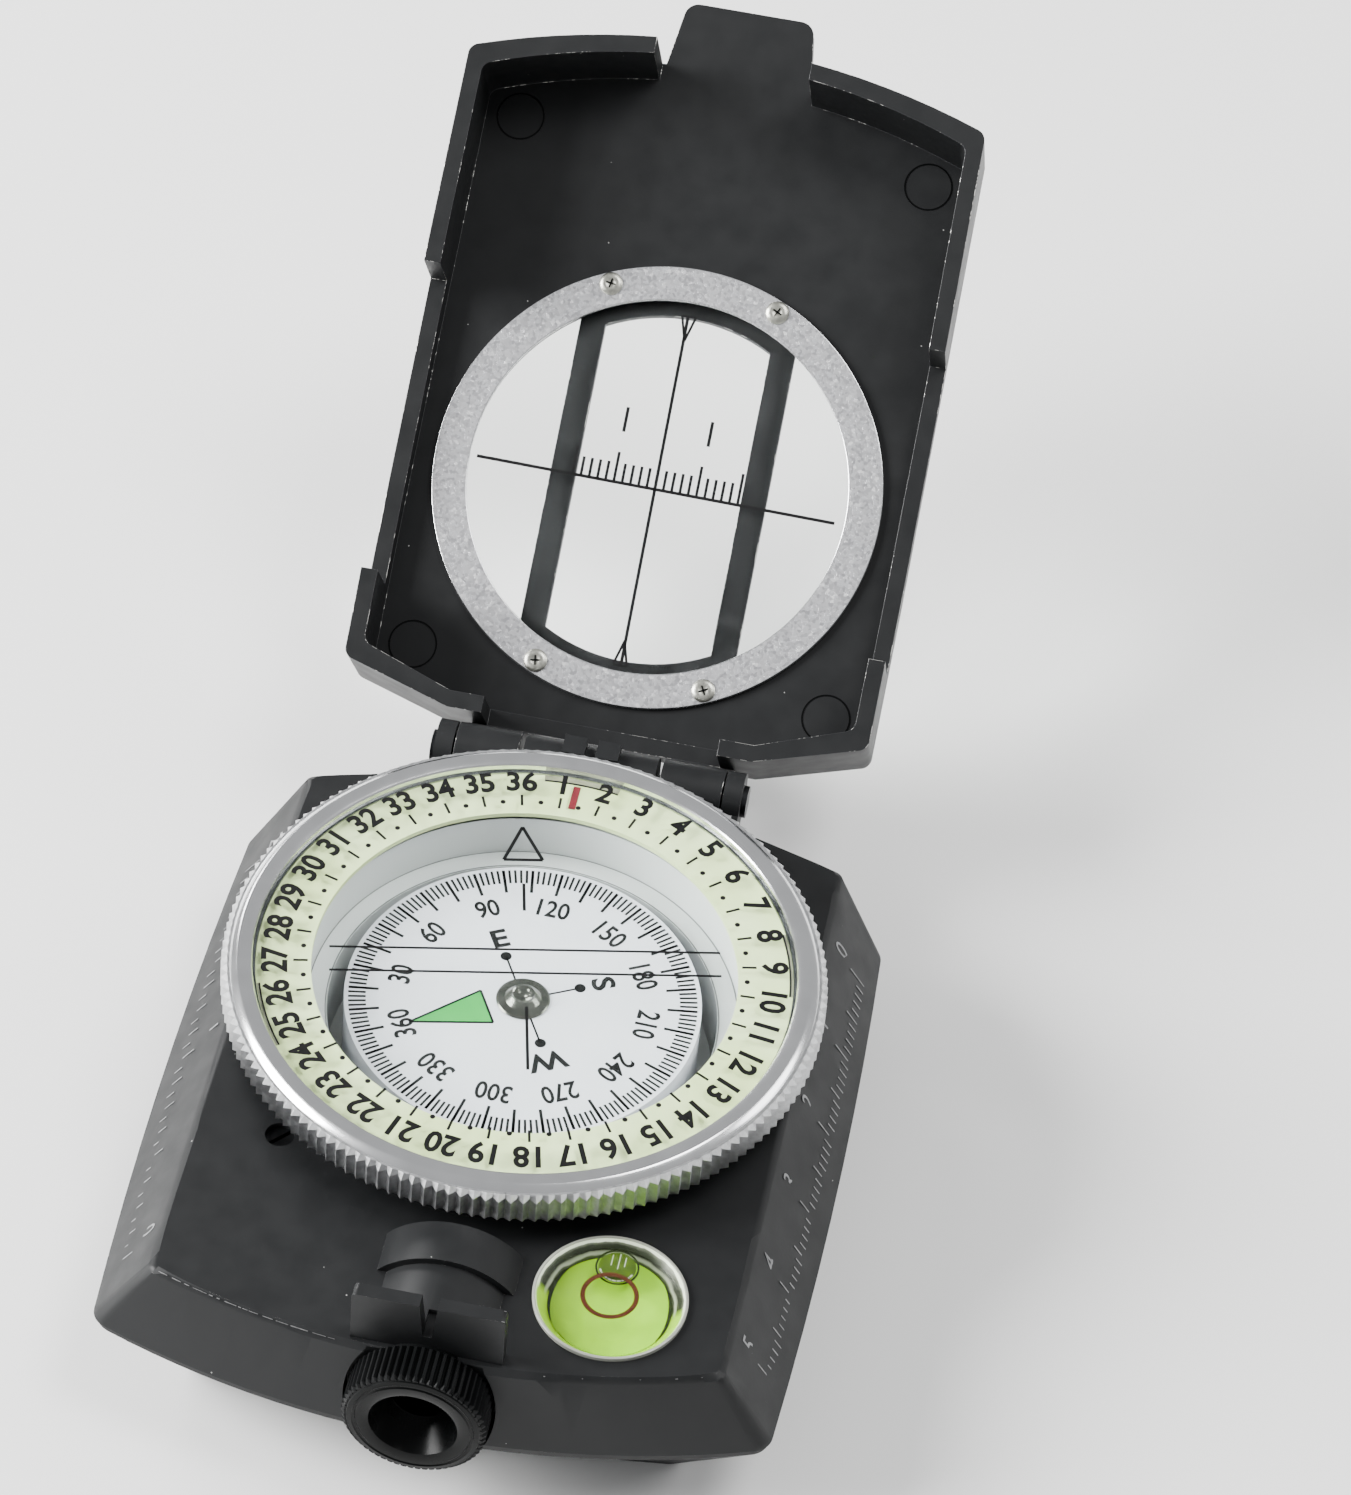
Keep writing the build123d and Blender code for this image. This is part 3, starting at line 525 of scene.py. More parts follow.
class Paint(Enum):
    """The finishes of the compass, by what they are on the real one."""

    ENAMEL = SprayedEnamel(
        "black_enamel", "161718", 0.45, mottle=0.1, grain_mm=0.35, grain_um=5.0, specular=0.26
    )
    ENAMEL_EDGE = WornEdge("black_enamel_worn_edge", "222325", 0.36, grain_mm=0.3, grain_um=5.0, wear=0.45)
    COVER = SprayedEnamel("moulded_black_plastic", "101112", 0.5, grain_mm=0.4, grain_um=8.0, specular=0.3)
    BRIGHT_RIM = TurnedMetal("turned_bright_aluminium", "f4f5f6", 0.18, metallic=1.0, mottle=0.05)
    KNURL = Finish("knurled_aluminium", "dfe0e1", 0.36, metallic=1.0, mottle=0.3, mottle_mm=0.8, grain_um=3.0)
    FROSTED = BlastedMetal("blasted_aluminium", "c6c6c8", 0.34, metallic=0.6, mottle=0.1)
    STEEL = Finish(
        "zinc_plated_steel", "cfcfc4", 0.34, metallic=1.0, mottle=0.35, mottle_mm=0.4, grain_um=9.0
    )
    PIN_STEEL = Finish("blackened_steel", "3b3c3e", 0.35, metallic=1.0, mottle=0.3, mottle_mm=1.0)
    BRASS = Finish("turned_brass", "b8935a", 0.3, metallic=1.0, mottle=0.2, mottle_mm=1.2)
    ANODISED = Finish(
        "black_anodised_aluminium", "08090a", 0.48, mottle=0.2, grain_mm=0.2, grain_um=3.0, specular=0.12
    )
    GLOSS_BLACK = Finish("gloss_black_aluminium", "060707", 0.28, grain_um=1.0, specular=0.1)
    CAPSULE = Finish("white_capsule_moulding", "c3c4c4", 0.35, mottle=0.04, mottle_mm=6.0, grain_um=1.5)
    CARD = Finish("card_white_lacquer", "c9c8d0", 0.4, mottle=0.05, mottle_mm=8.0, grain_um=1.0)
    LUMINOUS = GlowPaint("luminous_paint", "b6c78a", 0.55, grain_mm=0.3, grain_um=6.0, edge_colour="becd9a")
    RECESS = Finish("luminous_recess_shade", "7d8068", 0.6, mottle=0.3, mottle_mm=1.5)
    PANE = ClearPane("clear_acrylic", "fbfdfc", 0.0, ior=1.12)
    LENS = ClearPane("polished_lens_glass", "f2f6f8", 0.0, ior=1.5)
    DOME = ClearPane("clear_level_dome", "fafdf6", 0.0, ior=1.12)
    INK = Finish("black_print", "0b0b0c", 0.5, mottle=0.1, grain_um=1.0, specular=0.2)
    FADED_INK = Finish("white_print_worn", "8f9091", 0.6, mottle=0.5, mottle_mm=1.2, grain_um=2.0)
    RED = Finish("red_index_paint", "640616", 0.45, mottle=0.15, mottle_mm=0.8, grain_um=3.0)
    GREEN = Finish("green_arrow_paint", "1f9038", 0.45, mottle=0.08, mottle_mm=2.0, grain_um=2.0)
    ORANGE = Finish(
        "orange_ring_print", "3a1602", 0.5, mottle=0.15, mottle_mm=0.6, grain_um=1.0, specular=0.2
    )
    LEVEL_RIM = Finish("level_cup_moulding", "a3a59b", 0.2, mottle=0.2, mottle_mm=3.0, grain_um=1.0, coat=0.3)
    LEVEL_WALL = LevelWall("level_cup_wall", "1c1e17", 0.25)
    LIQUID = DyedLiquid("yellow_green_liquid", "82b608", 0.12)
    BUBBLE = Finish("bubble_face", "3c5012", 0.06, mottle=0.5, mottle_mm=0.7, grain_um=1.0)
    # painted shade: dark edges of the bubble and of the liquid
    BUBBLE_EDGE = Finish("bubble_edge_painted_shade", "1d260d", 0.1, mottle=0.3, mottle_mm=0.8, grain_um=1.0)
    RUBBER = Finish("black_rubber", "101010", 0.8, mottle=0.1, specular=0.3)
    BARE = Finish("bare_casting_wear_and_highlight", "9a9a9a", 0.3, metallic=0.8, mottle=0.4, mottle_mm=0.4)
    CREVICE = Finish("capsule_crevice_shade", "6f7070", 0.6, mottle=0.3, mottle_mm=3.0)
    JEWEL = Finish(
        "polished_jewel_cap", "8f8f88", 0.18, metallic=1.0, mottle=0.3, mottle_mm=0.8, grain_um=3.0
    )

    def material(self) -> bpy.types.Material:
        """Gives the Blender material of this finish."""
        return self.value.make()


# ---------------------------------------------------------------- mesh helpers
def piece_from(name: str, mesh: Mesh, body: str) -> bpy.types.Object:
    """Makes a finished mesh a piece that rides on a body.

    Args:
        name: the piece's name.
        mesh: its mesh, already in place.
        body: the body it moves with.

    Returns:
        The new object.
    """
    mesh.name = name
    piece = bpy.data.objects.new(name, mesh)
    bpy.context.scene.collection.objects.link(piece)
    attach(piece, body)
    LOG.info("%s: %d faces on %s", name, len(mesh.polygons), body)
    return piece


def shade(mesh: Mesh, angle: float = 35.0) -> None:
    """Shades a mesh smooth, apart from edges sharper than an angle in degrees."""
    mesh.polygons.foreach_set("use_smooth", [True] * len(mesh.polygons))
    mesh.set_sharp_from_angle(angle=math.radians(angle))


def mesh_of(form: bmesh.types.BMesh, name: str, paints: Sequence[Paint]) -> Mesh:
    """Turns a bmesh into a mesh with materials.

    Args:
        form: the shape. It is freed.
        name: mesh name.
        paints: finish of each material slot.

    Returns:
        The mesh.
    """
    mesh = bpy.data.meshes.new(name)
    form.to_mesh(mesh)
    form.free()
    for paint in paints:
        mesh.materials.append(paint.material())
    return mesh


def turned(profile: Sequence[Point], steps: int, name: str, paints: Sequence[Paint]) -> Mesh:
    """Turns a closed profile about Z into a closed mesh.

    Args:
        profile: radius and level of each corner in millimetres, going round the section.
        steps: number of segments of the full turn.
        name: mesh name.
        paints: one finish, or one for each side of the profile.

    Returns:
        The mesh, with its normals outwards.
    """
    form = bmesh.new()
    rings: list[list[bmesh.types.BMVert]] = []
    for radius, level in profile:
        if radius == 0:
            rings.append([form.verts.new((0, 0, level * MM))] * steps)
            continue
        rings.append(
            [
                form.verts.new(
                    (
                        radius * MM * math.cos(2 * math.pi * i / steps),
                        radius * MM * math.sin(2 * math.pi * i / steps),
                        level * MM,
                    )
                )
                for i in range(steps)
            ]
        )
    for side, (low, high) in enumerate(zip(rings, rings[1:] + rings[:1])):
        for i in range(steps):
            j = (i + 1) % steps
            corners = list(dict.fromkeys((low[i], low[j], high[j], high[i])))
            if len(corners) < 3:
                continue
            face = form.faces.new(corners)
            face.material_index = side if len(paints) > 1 else 0
    bmesh.ops.recalc_face_normals(form, faces=form.faces)
    return mesh_of(form, name, paints)


def slab(
    outline: Iterable[Point], low: float, high: float, hole: Sequence[Point] | None = None
) -> bmesh.types.BMesh:
    """Extrudes a flat outline between two levels.

    Args:
        outline: corners in millimetres, in order round the shape.
        low: lower level in millimetres.
        high: upper level in millimetres.
        hole: outline of an opening, with as many corners.

    Returns:
        A closed bmesh, in metres.
    """
    form = bmesh.new()
    outer = list(outline)
    if hole:
        inner = list(hole)
        loops = [
            [form.verts.new((x * MM, y * MM, z * MM)) for x, y in path]
            for path, z in ((outer, low), (outer, high), (inner, high), (inner, low))
        ]
        for a, b in zip(loops, loops[1:] + loops[:1]):
            for i in range(len(outer)):
                j = (i + 1) % len(outer)
                form.faces.new((a[i], a[j], b[j], b[i]))
    else:
        bottom = [form.verts.new((x * MM, y * MM, low * MM)) for x, y in outer]
        top = [form.verts.new((x * MM, y * MM, high * MM)) for x, y in outer]
        form.faces.new(bottom)
        form.faces.new(top)
        for i in range(len(outer)):
            j = (i + 1) % len(outer)
            form.faces.new((bottom[i], bottom[j], top[j], top[i]))
    bmesh.ops.recalc_face_normals(form, faces=form.faces)
    return form


def bar(start: Point, end: Point, width: float) -> list[Point]:
    """Gives the outline of a straight stroke, in millimetres.

    Args:
        start: middle of its first end.
        end: middle of its other end.
        width: its width.

    Returns:
        Its four corners in order.
    """
    run = Vector(end) - Vector(start)
    side = Vector((-run.y, run.x)).normalized() * width / 2
    a, b = Vector(start), Vector(end)
    return [tuple(a - side), tuple(b - side), tuple(b + side), tuple(a + side)]


def round_outline(centre: Point, radius: float, steps: int = 24) -> list[Point]:
    """Gives a circle as an outline, in millimetres."""
    angles = [2 * math.pi * i / steps for i in range(steps)]
    return [(centre[0] + radius * math.cos(a), centre[1] + radius * math.sin(a)) for a in angles]


def lofted(sections: Sequence[Sequence[tuple[float, float, float]]]) -> bmesh.types.BMesh:
    """Joins equal sections, one above the other, into a closed shape.

    Args:
        sections: corners of each section in millimetres, in the same order in all of them.

    Returns:
        A closed bmesh, in metres.
    """
    form = bmesh.new()
    loops = [[form.verts.new([c * MM for c in corner]) for corner in section] for section in sections]
    for low, high in zip(loops, loops[1:]):
        for i in range(len(low)):
            j = (i + 1) % len(low)
            form.faces.new((low[i], low[j], high[j], high[i]))
    form.faces.new(loops[0])
    form.faces.new(loops[-1])
    bmesh.ops.recalc_face_normals(form, faces=form.faces)
    return form


def compass_point(azimuth: float, radius: float) -> Point:
    """Gives the point at a clockwise azimuth in degrees from +Y and at a radius."""
    angle = math.radians(azimuth)
    return radius * math.sin(angle), radius * math.cos(angle)


def turned_to(azimuth: float, radius: float, level: float) -> Matrix:
    """Gives the place of a figure on a dial, its top outwards, at a clockwise azimuth from +Y."""
    x, y = compass_point(azimuth, radius)
    return Matrix.Translation((x * MM, y * MM, level * MM)) @ Matrix.Rotation(-math.radians(azimuth), 4, "Z")


class PrintSheet:
    """Collects thin flat marks, all of one finish, into one closed mesh: print, wear, and painted shade and
    highlights.
    """

    def __init__(self, name: str, paint: Paint, thickness: float = 0.03) -> None:
        """Starts an empty sheet of marks.

        Args:
            name: name of the piece that the marks become.
            paint: their finish.
            thickness: their height in millimetres.
        """
        self.name = name
        self.paint = paint
        self.thickness = thickness
        self.form = bmesh.new()

    def add(self, marks: Mesh, place: Matrix | None = None) -> None:
        """Adds a mesh of marks.

        Args:
            marks: the mesh. It is removed.
            place: where it is moved to first.
        """
        if place is not None:
            marks.transform(place)
        self.form.from_mesh(marks)
        bpy.data.meshes.remove(marks)

    def outline(
        self,
        shape: Iterable[Point],
        level: float,
        place: Matrix | None = None,
        hole: Sequence[Point] | None = None,
    ) -> None:
        """Adds one flat mark.

        Args:
            shape: its outline in millimetres.
            level: level of its underside in millimetres.
            place: where the outline's own plane goes.
            hole: outline of an opening, with as many corners.
        """
        form = slab(shape, level, level + self.thickness, hole)
        mesh = bpy.data.meshes.new(self.name)
        form.to_mesh(mesh)
        form.free()
        self.add(mesh, place)

    def figure(self, text: str, height: float, place: Matrix, bold: float = 0.0, narrow: float = 1.0) -> None:
        """Adds a figure or letter, centred on its place.

        Args:
            text: the characters.
            height: height of a capital in millimetres.
            place: where its centre goes and which way it stands.
            bold: how far the strokes are thickened, in millimetres.
            narrow: width as a share of the font's own.
        """
        capital = 0.72
        curve = bpy.data.curves.new(self.name, "FONT")
        curve.body = text
        curve.size = 1.0
        curve.align_x = "CENTER"
        curve.offset = bold / height * capital
        curve.extrude = 0.5
        curve.resolution_u = 3
        helper = bpy.data.objects.new(self.name, curve)
        mesh = bpy.data.meshes.new_from_object(helper)
        bpy.data.objects.remove(helper)
        bpy.data.curves.remove(curve)
        size = height / capital * MM
        centred = Matrix.Translation((0, -height * MM / 2, 0)) @ Matrix.Diagonal(
            (size * narrow, size, self.thickness * MM, 1)
        )
        mesh.transform(centred)
        form = bmesh.new()
        form.from_mesh(mesh)
        bmesh.ops.remove_doubles(form, verts=form.verts, dist=1e-6)
        form.to_mesh(mesh)
        form.free()
        self.add(mesh, place)

    def finish(self, body: str) -> bpy.types.Object:
        """Makes the sheet a piece on a body."""
        mesh = mesh_of(self.form, self.name, [self.paint])
        mesh.polygons.foreach_set("material_index", [0] * len(mesh.polygons))
        return piece_from(self.name, mesh, body)


# ---------------------------------------------------------------- repeats by geometry nodes
class Repeat:
    """Copies a shape along a line, round the Z axis, or both, with a geometry node tree."""

    TREE = "repeat_shape"

    @classmethod
    def tree(cls) -> Tree:
        """Builds the node tree, or returns it if it was built before.

        Returns:
            A tree whose inputs are the shape, Count, Step, First Turn, Turn, Wobble and Material.
        """
        known = bpy.data.node_groups.get(cls.TREE)
        if known is not None:
            return known
        tree = bpy.data.node_groups.new(cls.TREE, "GeometryNodeTree")
        sockets = (
            ("Shape", "NodeSocketGeometry"),
            ("Count", "NodeSocketInt"),
            ("Step", "NodeSocketVector"),
            ("First Turn", "NodeSocketFloat"),
            ("Turn", "NodeSocketFloat"),
            ("Wobble", "NodeSocketFloat"),
            ("Material", "NodeSocketMaterial"),
        )
        for name, kind in sockets:
            tree.interface.new_socket(name, in_out="INPUT", socket_type=kind)
        tree.interface.new_socket("Shape", in_out="OUTPUT", socket_type="NodeSocketGeometry")
        given = add_node(tree, "NodeGroupInput").outputs
        line = add_node(
            tree,
            "GeometryNodeMeshLine",
            {"mode": "OFFSET"},
            {"Count": given["Count"], "Offset": given["Step"]},
        )
        place = add_node(tree, "GeometryNodeInputIndex").outputs[0]
        turn = maths(tree, "MULTIPLY_ADD", place, given["Turn"], given["First Turn"])
        wobble = add_node(
            tree,
            "FunctionNodeRandomValue",
            {"data_type": "FLOAT"},
            {2: -1.0, 3: 1.0, "ID": place, "Seed": 7},
        ).outputs[1]
        uneven = maths(tree, "MULTIPLY_ADD", wobble, given["Wobble"], turn)
        rotation = add_node(tree, "ShaderNodeCombineXYZ", inputs={"Z": uneven}).outputs[0]
        copies = add_node(
            tree,
            "GeometryNodeInstanceOnPoints",
            inputs={"Points": line.outputs["Mesh"], "Instance": given["Shape"], "Rotation": rotation},
        )
        solid = add_node(tree, "GeometryNodeRealizeInstances", inputs={0: copies.outputs["Instances"]})
        painted = add_node(
            tree,
            "GeometryNodeSetMaterial",
            inputs={"Geometry": solid.outputs[0], "Material": given["Material"]},
        )
        add_node(tree, "NodeGroupOutput", inputs={0: painted.outputs[0]})
        return tree

    @classmethod
    def make(
        cls,
        shape: bmesh.types.BMesh,
        paint: Paint,
        count: int,
        step: Vector = Vector(),
        turn: float = 0.0,
        first: float = 0.0,
        wobble: float = 0.0,
    ) -> Mesh:
        """Repeats a shape and gives the result as one plain mesh.

        Args:
            shape: the shape in the place of its first copy before it is turned. It is freed.
            paint: finish of the copies.
            count: number of copies.
            step: move from one copy to the next, in metres.
            turn: clockwise turn about Z from one copy to the next, in degrees.
            first: clockwise turn of the first copy, in degrees.
            wobble: largest random turn of a copy about its even place, in degrees.

        Returns:
            The mesh of all copies.
        """
        helper = bpy.data.objects.new("repeat", mesh_of(shape, "repeat", []))
        bpy.context.scene.collection.objects.link(helper)
        modifier = helper.modifiers.new("repeat", "NODES")
        modifier.node_group = cls.tree()
        values = {
            "Count": count,
            "Step": step,
            "First Turn": -math.radians(first),
            "Turn": -math.radians(turn),
            "Wobble": math.radians(wobble),
            "Material": paint.material(),
        }
        for socket in cls.tree().interface.items_tree:
            if socket.in_out == "INPUT" and socket.name in values:
                modifier[socket.identifier] = values[socket.name]
        graph = bpy.context.evaluated_depsgraph_get()
        mesh = bpy.data.meshes.new_from_object(helper.evaluated_get(graph), depsgraph=graph)
        source = helper.data
        bpy.data.objects.remove(helper)
        bpy.data.meshes.remove(source)
        return mesh


def joined(meshes: Sequence[Mesh], name: str, paints: Sequence[Paint]) -> Mesh:
    """Joins meshes into one. Each mesh takes the finish at its own place in the list.

    Args:
        meshes: what is joined. They are removed.
        name: name of the joint mesh.
        paints: finish of each mesh.

    Returns:
        The joint mesh.
    """
    form = bmesh.new()
    for index, mesh in enumerate(meshes):
        before = len(form.faces)
        form.from_mesh(mesh)
        form.faces.ensure_lookup_table()
        for face in form.faces[before:]:
            face.material_index = index
        bpy.data.meshes.remove(mesh)
    return mesh_of(form, name, paints)


def dress_nodes(paints: Mapping[str, Paint]) -> None:
    """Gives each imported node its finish.

    Args:
        paints: finish of each node, by the node's name.
    """
    for name, paint in paints.items():
        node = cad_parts[name]
        node.data.materials.clear()
        node.data.materials.append(paint.material())


def copy_of(
    node: str, bevel: float, paints: Sequence[Paint], name: str, body: str
) -> bpy.types.Object:
    """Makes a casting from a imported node, with its sharp edges rounded.

    Args:
        node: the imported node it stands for.
        bevel: width of the rounded edge in millimetres.
        paints: finish of the faces, then of the rounded edges.
        name: name of the piece.
        body: body it rides on.

    Returns:
        The piece, with a live bevel.
    """
    form = bmesh.new()
    form.from_mesh(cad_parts[node].data)
    bmesh.ops.remove_doubles(form, verts=form.verts, dist=2e-6)
    bmesh.ops.dissolve_limit(
        form, angle_limit=math.radians(0.6), verts=form.verts, edges=form.edges, use_dissolve_boundaries=False
    )
    for face in form.faces:
        face.material_index = 0
    mesh = mesh_of(form, name, paints)
    mesh.polygons.foreach_set("use_smooth", [True] * len(mesh.polygons))
    piece = piece_from(name, mesh, body)
    modifier = piece.modifiers.new("rounded edges", "BEVEL")
    modifier.width = bevel * MM
    modifier.segments = 2
    modifier.limit_method = "ANGLE"
    modifier.angle_limit = math.radians(32)
    modifier.material = 1
    modifier.use_clamp_overlap = True
    normals = piece.modifiers.new("flat faces", "WEIGHTED_NORMAL")
    normals.weight = 100
    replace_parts(piece, node)
    return piece


# ---------------------------------------------------------------- sub-assemblies
@dataclass
class Case:
    """Case shell, bottom cover, their fasteners, and the ruler printed on the bevel."""

    edge_round: float = 0.18
    ruler_zero_y: float = 16.0
    ruler_length_cm: int = 5
    inch_zero_y: float = -34.8
    ruler_length_inch: int = 2
    inch: float = 25.4
    ruler_foot: float = 0.77
    digit_share: float = 0.28
    slant: float = 9.34
    top_half: float = 26.7
    foot_half: float = 31.9
    top_z: float = 17.76
    foot_z: float = 10.0
    front_y: float = -43.7
    front_sag: float = 4.6
    saddle_half: float = 8.2
    wear_seed: int = 11
    ear_top_z: float = 23.9
    # bright lines on the ears' top edges, wear together with a painted highlight: start x, end x and y
    ear_wear: tuple[tuple[float, float, float], ...] = (
        (-6.5, -1.4, -42.52),
        (-6.2, -1.6, -41.28),
        (1.1, 1.9, -42.52),
        (5.6, 7.0, -42.5),
        (4.8, 6.9, -41.28),
    )

    def bevel_place(self, side: int, y: float, share: float) -> Matrix:
        """Gives a place on a side bevel, with local X along -Y or +Y so that text reads from outside.

        Args:
            side: +1 for the right bevel, -1 for the left one.
            y: place along the case in millimetres.
            share: how far down the bevel, from its top edge to its foot.

        Returns:
            The place. Local Y runs up the bevel and local Z out of it.
        """
        up = Vector((side * (self.top_half - self.foot_half), 0, self.top_z - self.foot_z)).normalized()
        along = Vector((0, side, 0))
        out = along.cross(up)
        x = side * (self.top_half + (self.foot_half - self.top_half) * share)
        z = self.top_z + (self.foot_z - self.top_z) * share
        bow = 0.15 + 0.75 * share
        middle, half_run = -6.95, 32.15
        x += side * bow * (1 - ((y - middle) / half_run) ** 2)
        place = Matrix((along, up, out)).transposed().to_4x4()
        place.translation = Vector((x * MM, y * MM, z * MM)) + out * 0.012 * MM
        return place

    def tick(self, sheet: "PrintSheet", side: int, y: float, length: float) -> None:
        """Prints one tick down a bevel, its foot on the scale's line."""
        place = self.bevel_place(side, y, self.ruler_foot - length / 2 / self.slant)
        sheet.outline(bar((0, -length / 2), (0, length / 2), 0.13), 0.0, place)

    def ruler(self) -> None:
        """Prints a centimetre scale on the right bevel and an inch scale on the left bevel."""
        right = PrintSheet("case_ruler_right", Paint.FADED_INK, 0.02)
        for millimetre in range(10 * self.ruler_length_cm + 1):
            length = 2.7 if millimetre % 10 == 0 else 2.0 if millimetre % 5 == 0 else 1.3
            self.tick(right, 1, self.ruler_zero_y - millimetre, length)
        for centimetre in range(self.ruler_length_cm + 1):
            y = self.ruler_zero_y - 10 * centimetre
            right.figure(str(centimetre), 2.3, self.bevel_place(1, y + 0.8, self.digit_share), narrow=0.75)
        right.finish("case")
        left = PrintSheet("case_ruler_left", Paint.FADED_INK, 0.02)
        for sixteenth in range(16 * self.ruler_length_inch + 1):
            length = 2.6 if sixteenth % 8 == 0 else 1.9 if sixteenth % 2 == 0 else 1.3
            self.tick(left, -1, self.inch_zero_y + sixteenth * self.inch / 16, length)
        for inch in range(self.ruler_length_inch + 1):
            y = self.inch_zero_y + inch * self.inch
            left.figure(str(inch), 2.3, self.bevel_place(-1, y + 1.6, self.digit_share), narrow=0.75)
        left.finish("case")

    def front_edge(self, turn: float) -> Matrix:
        """Gives a place on the sharp edge between the top and the bowed front bevel.

        Args:
            turn: angle along the bow from its middle, in radians.

        Returns:
            The place. Local X runs along the edge and local Z out of it.
        """
        arc = self.bow_radius() - 0.07
        centre_y = self.front_y + self.bow_radius()
        spot = Vector((arc * math.sin(turn), centre_y - arc * math.cos(turn), self.top_z - 0.055))
        tilt = Matrix.Rotation(turn, 4, "Z") @ Matrix.Rotation(math.radians(35), 4, "X")
        return Matrix.Translation(spot * MM) @ tilt

    def bow_radius(self) -> float:
        """Gives the radius of the front edge's bow, in millimetres."""
        return (self.top_half**2 + self.front_sag**2) / (2 * self.front_sag)

    def wear(self) -> None:
        """Lays bright specks and streaks where handling rubbed the enamel off the sharp edges, and bright
        lines on the ears' top edges that stand for wear together with a painted highlight.
        """
        chance = random.Random(self.wear_seed)
        marks = PrintSheet("case_edge_wear_and_highlights", Paint.BARE, 0.05)
        x = -self.top_half + 0.9
        while x < self.top_half - 1:
            streaky = x < -self.saddle_half + 0.2
            run = chance.uniform(0.25, 1.7) if streaky else chance.uniform(0.1, 0.25)
            middle = x + run / 2
            if abs(middle) > self.saddle_half:
                width = chance.uniform(0.03, 0.08)
                place = self.front_edge(math.asin(middle / self.bow_radius()))
                marks.outline(bar((-run / 2, 0), (run / 2, 0), width), 0.0, place)
            x += run + (chance.uniform(0.1, 0.5) if streaky else chance.uniform(1.5, 6.0))
        # wear together with a painted highlight: bright lines along the ears' top edges
        for start, end, y in self.ear_wear:
            marks.outline(bar((start, y), (end, y), 0.07), self.ear_top_z)
        marks.finish("case")

    def build(self) -> None:
        """Builds the case's looks."""
        self.wear()
        enamel = (Paint.ENAMEL, Paint.ENAMEL_EDGE)
        copy_of("case_shell", self.edge_round, enamel, "case_casting", "case")
        copy_of("bottom_cover", 0.3, (Paint.COVER, Paint.COVER), "base_cover", "case")
        self.ruler()
        dress_nodes(
            {
                "cover_gasket": Paint.RUBBER,
                "cover_screws": Paint.STEEL,
                "tripod_bush": Paint.BRASS,
                "lock_screw": Paint.PIN_STEEL,
                "hinge_pin": Paint.PIN_STEEL,
                "spring_ring": Paint.STEEL,
                "eyepiece_sleeve": Paint.ANODISED,
            }
        )


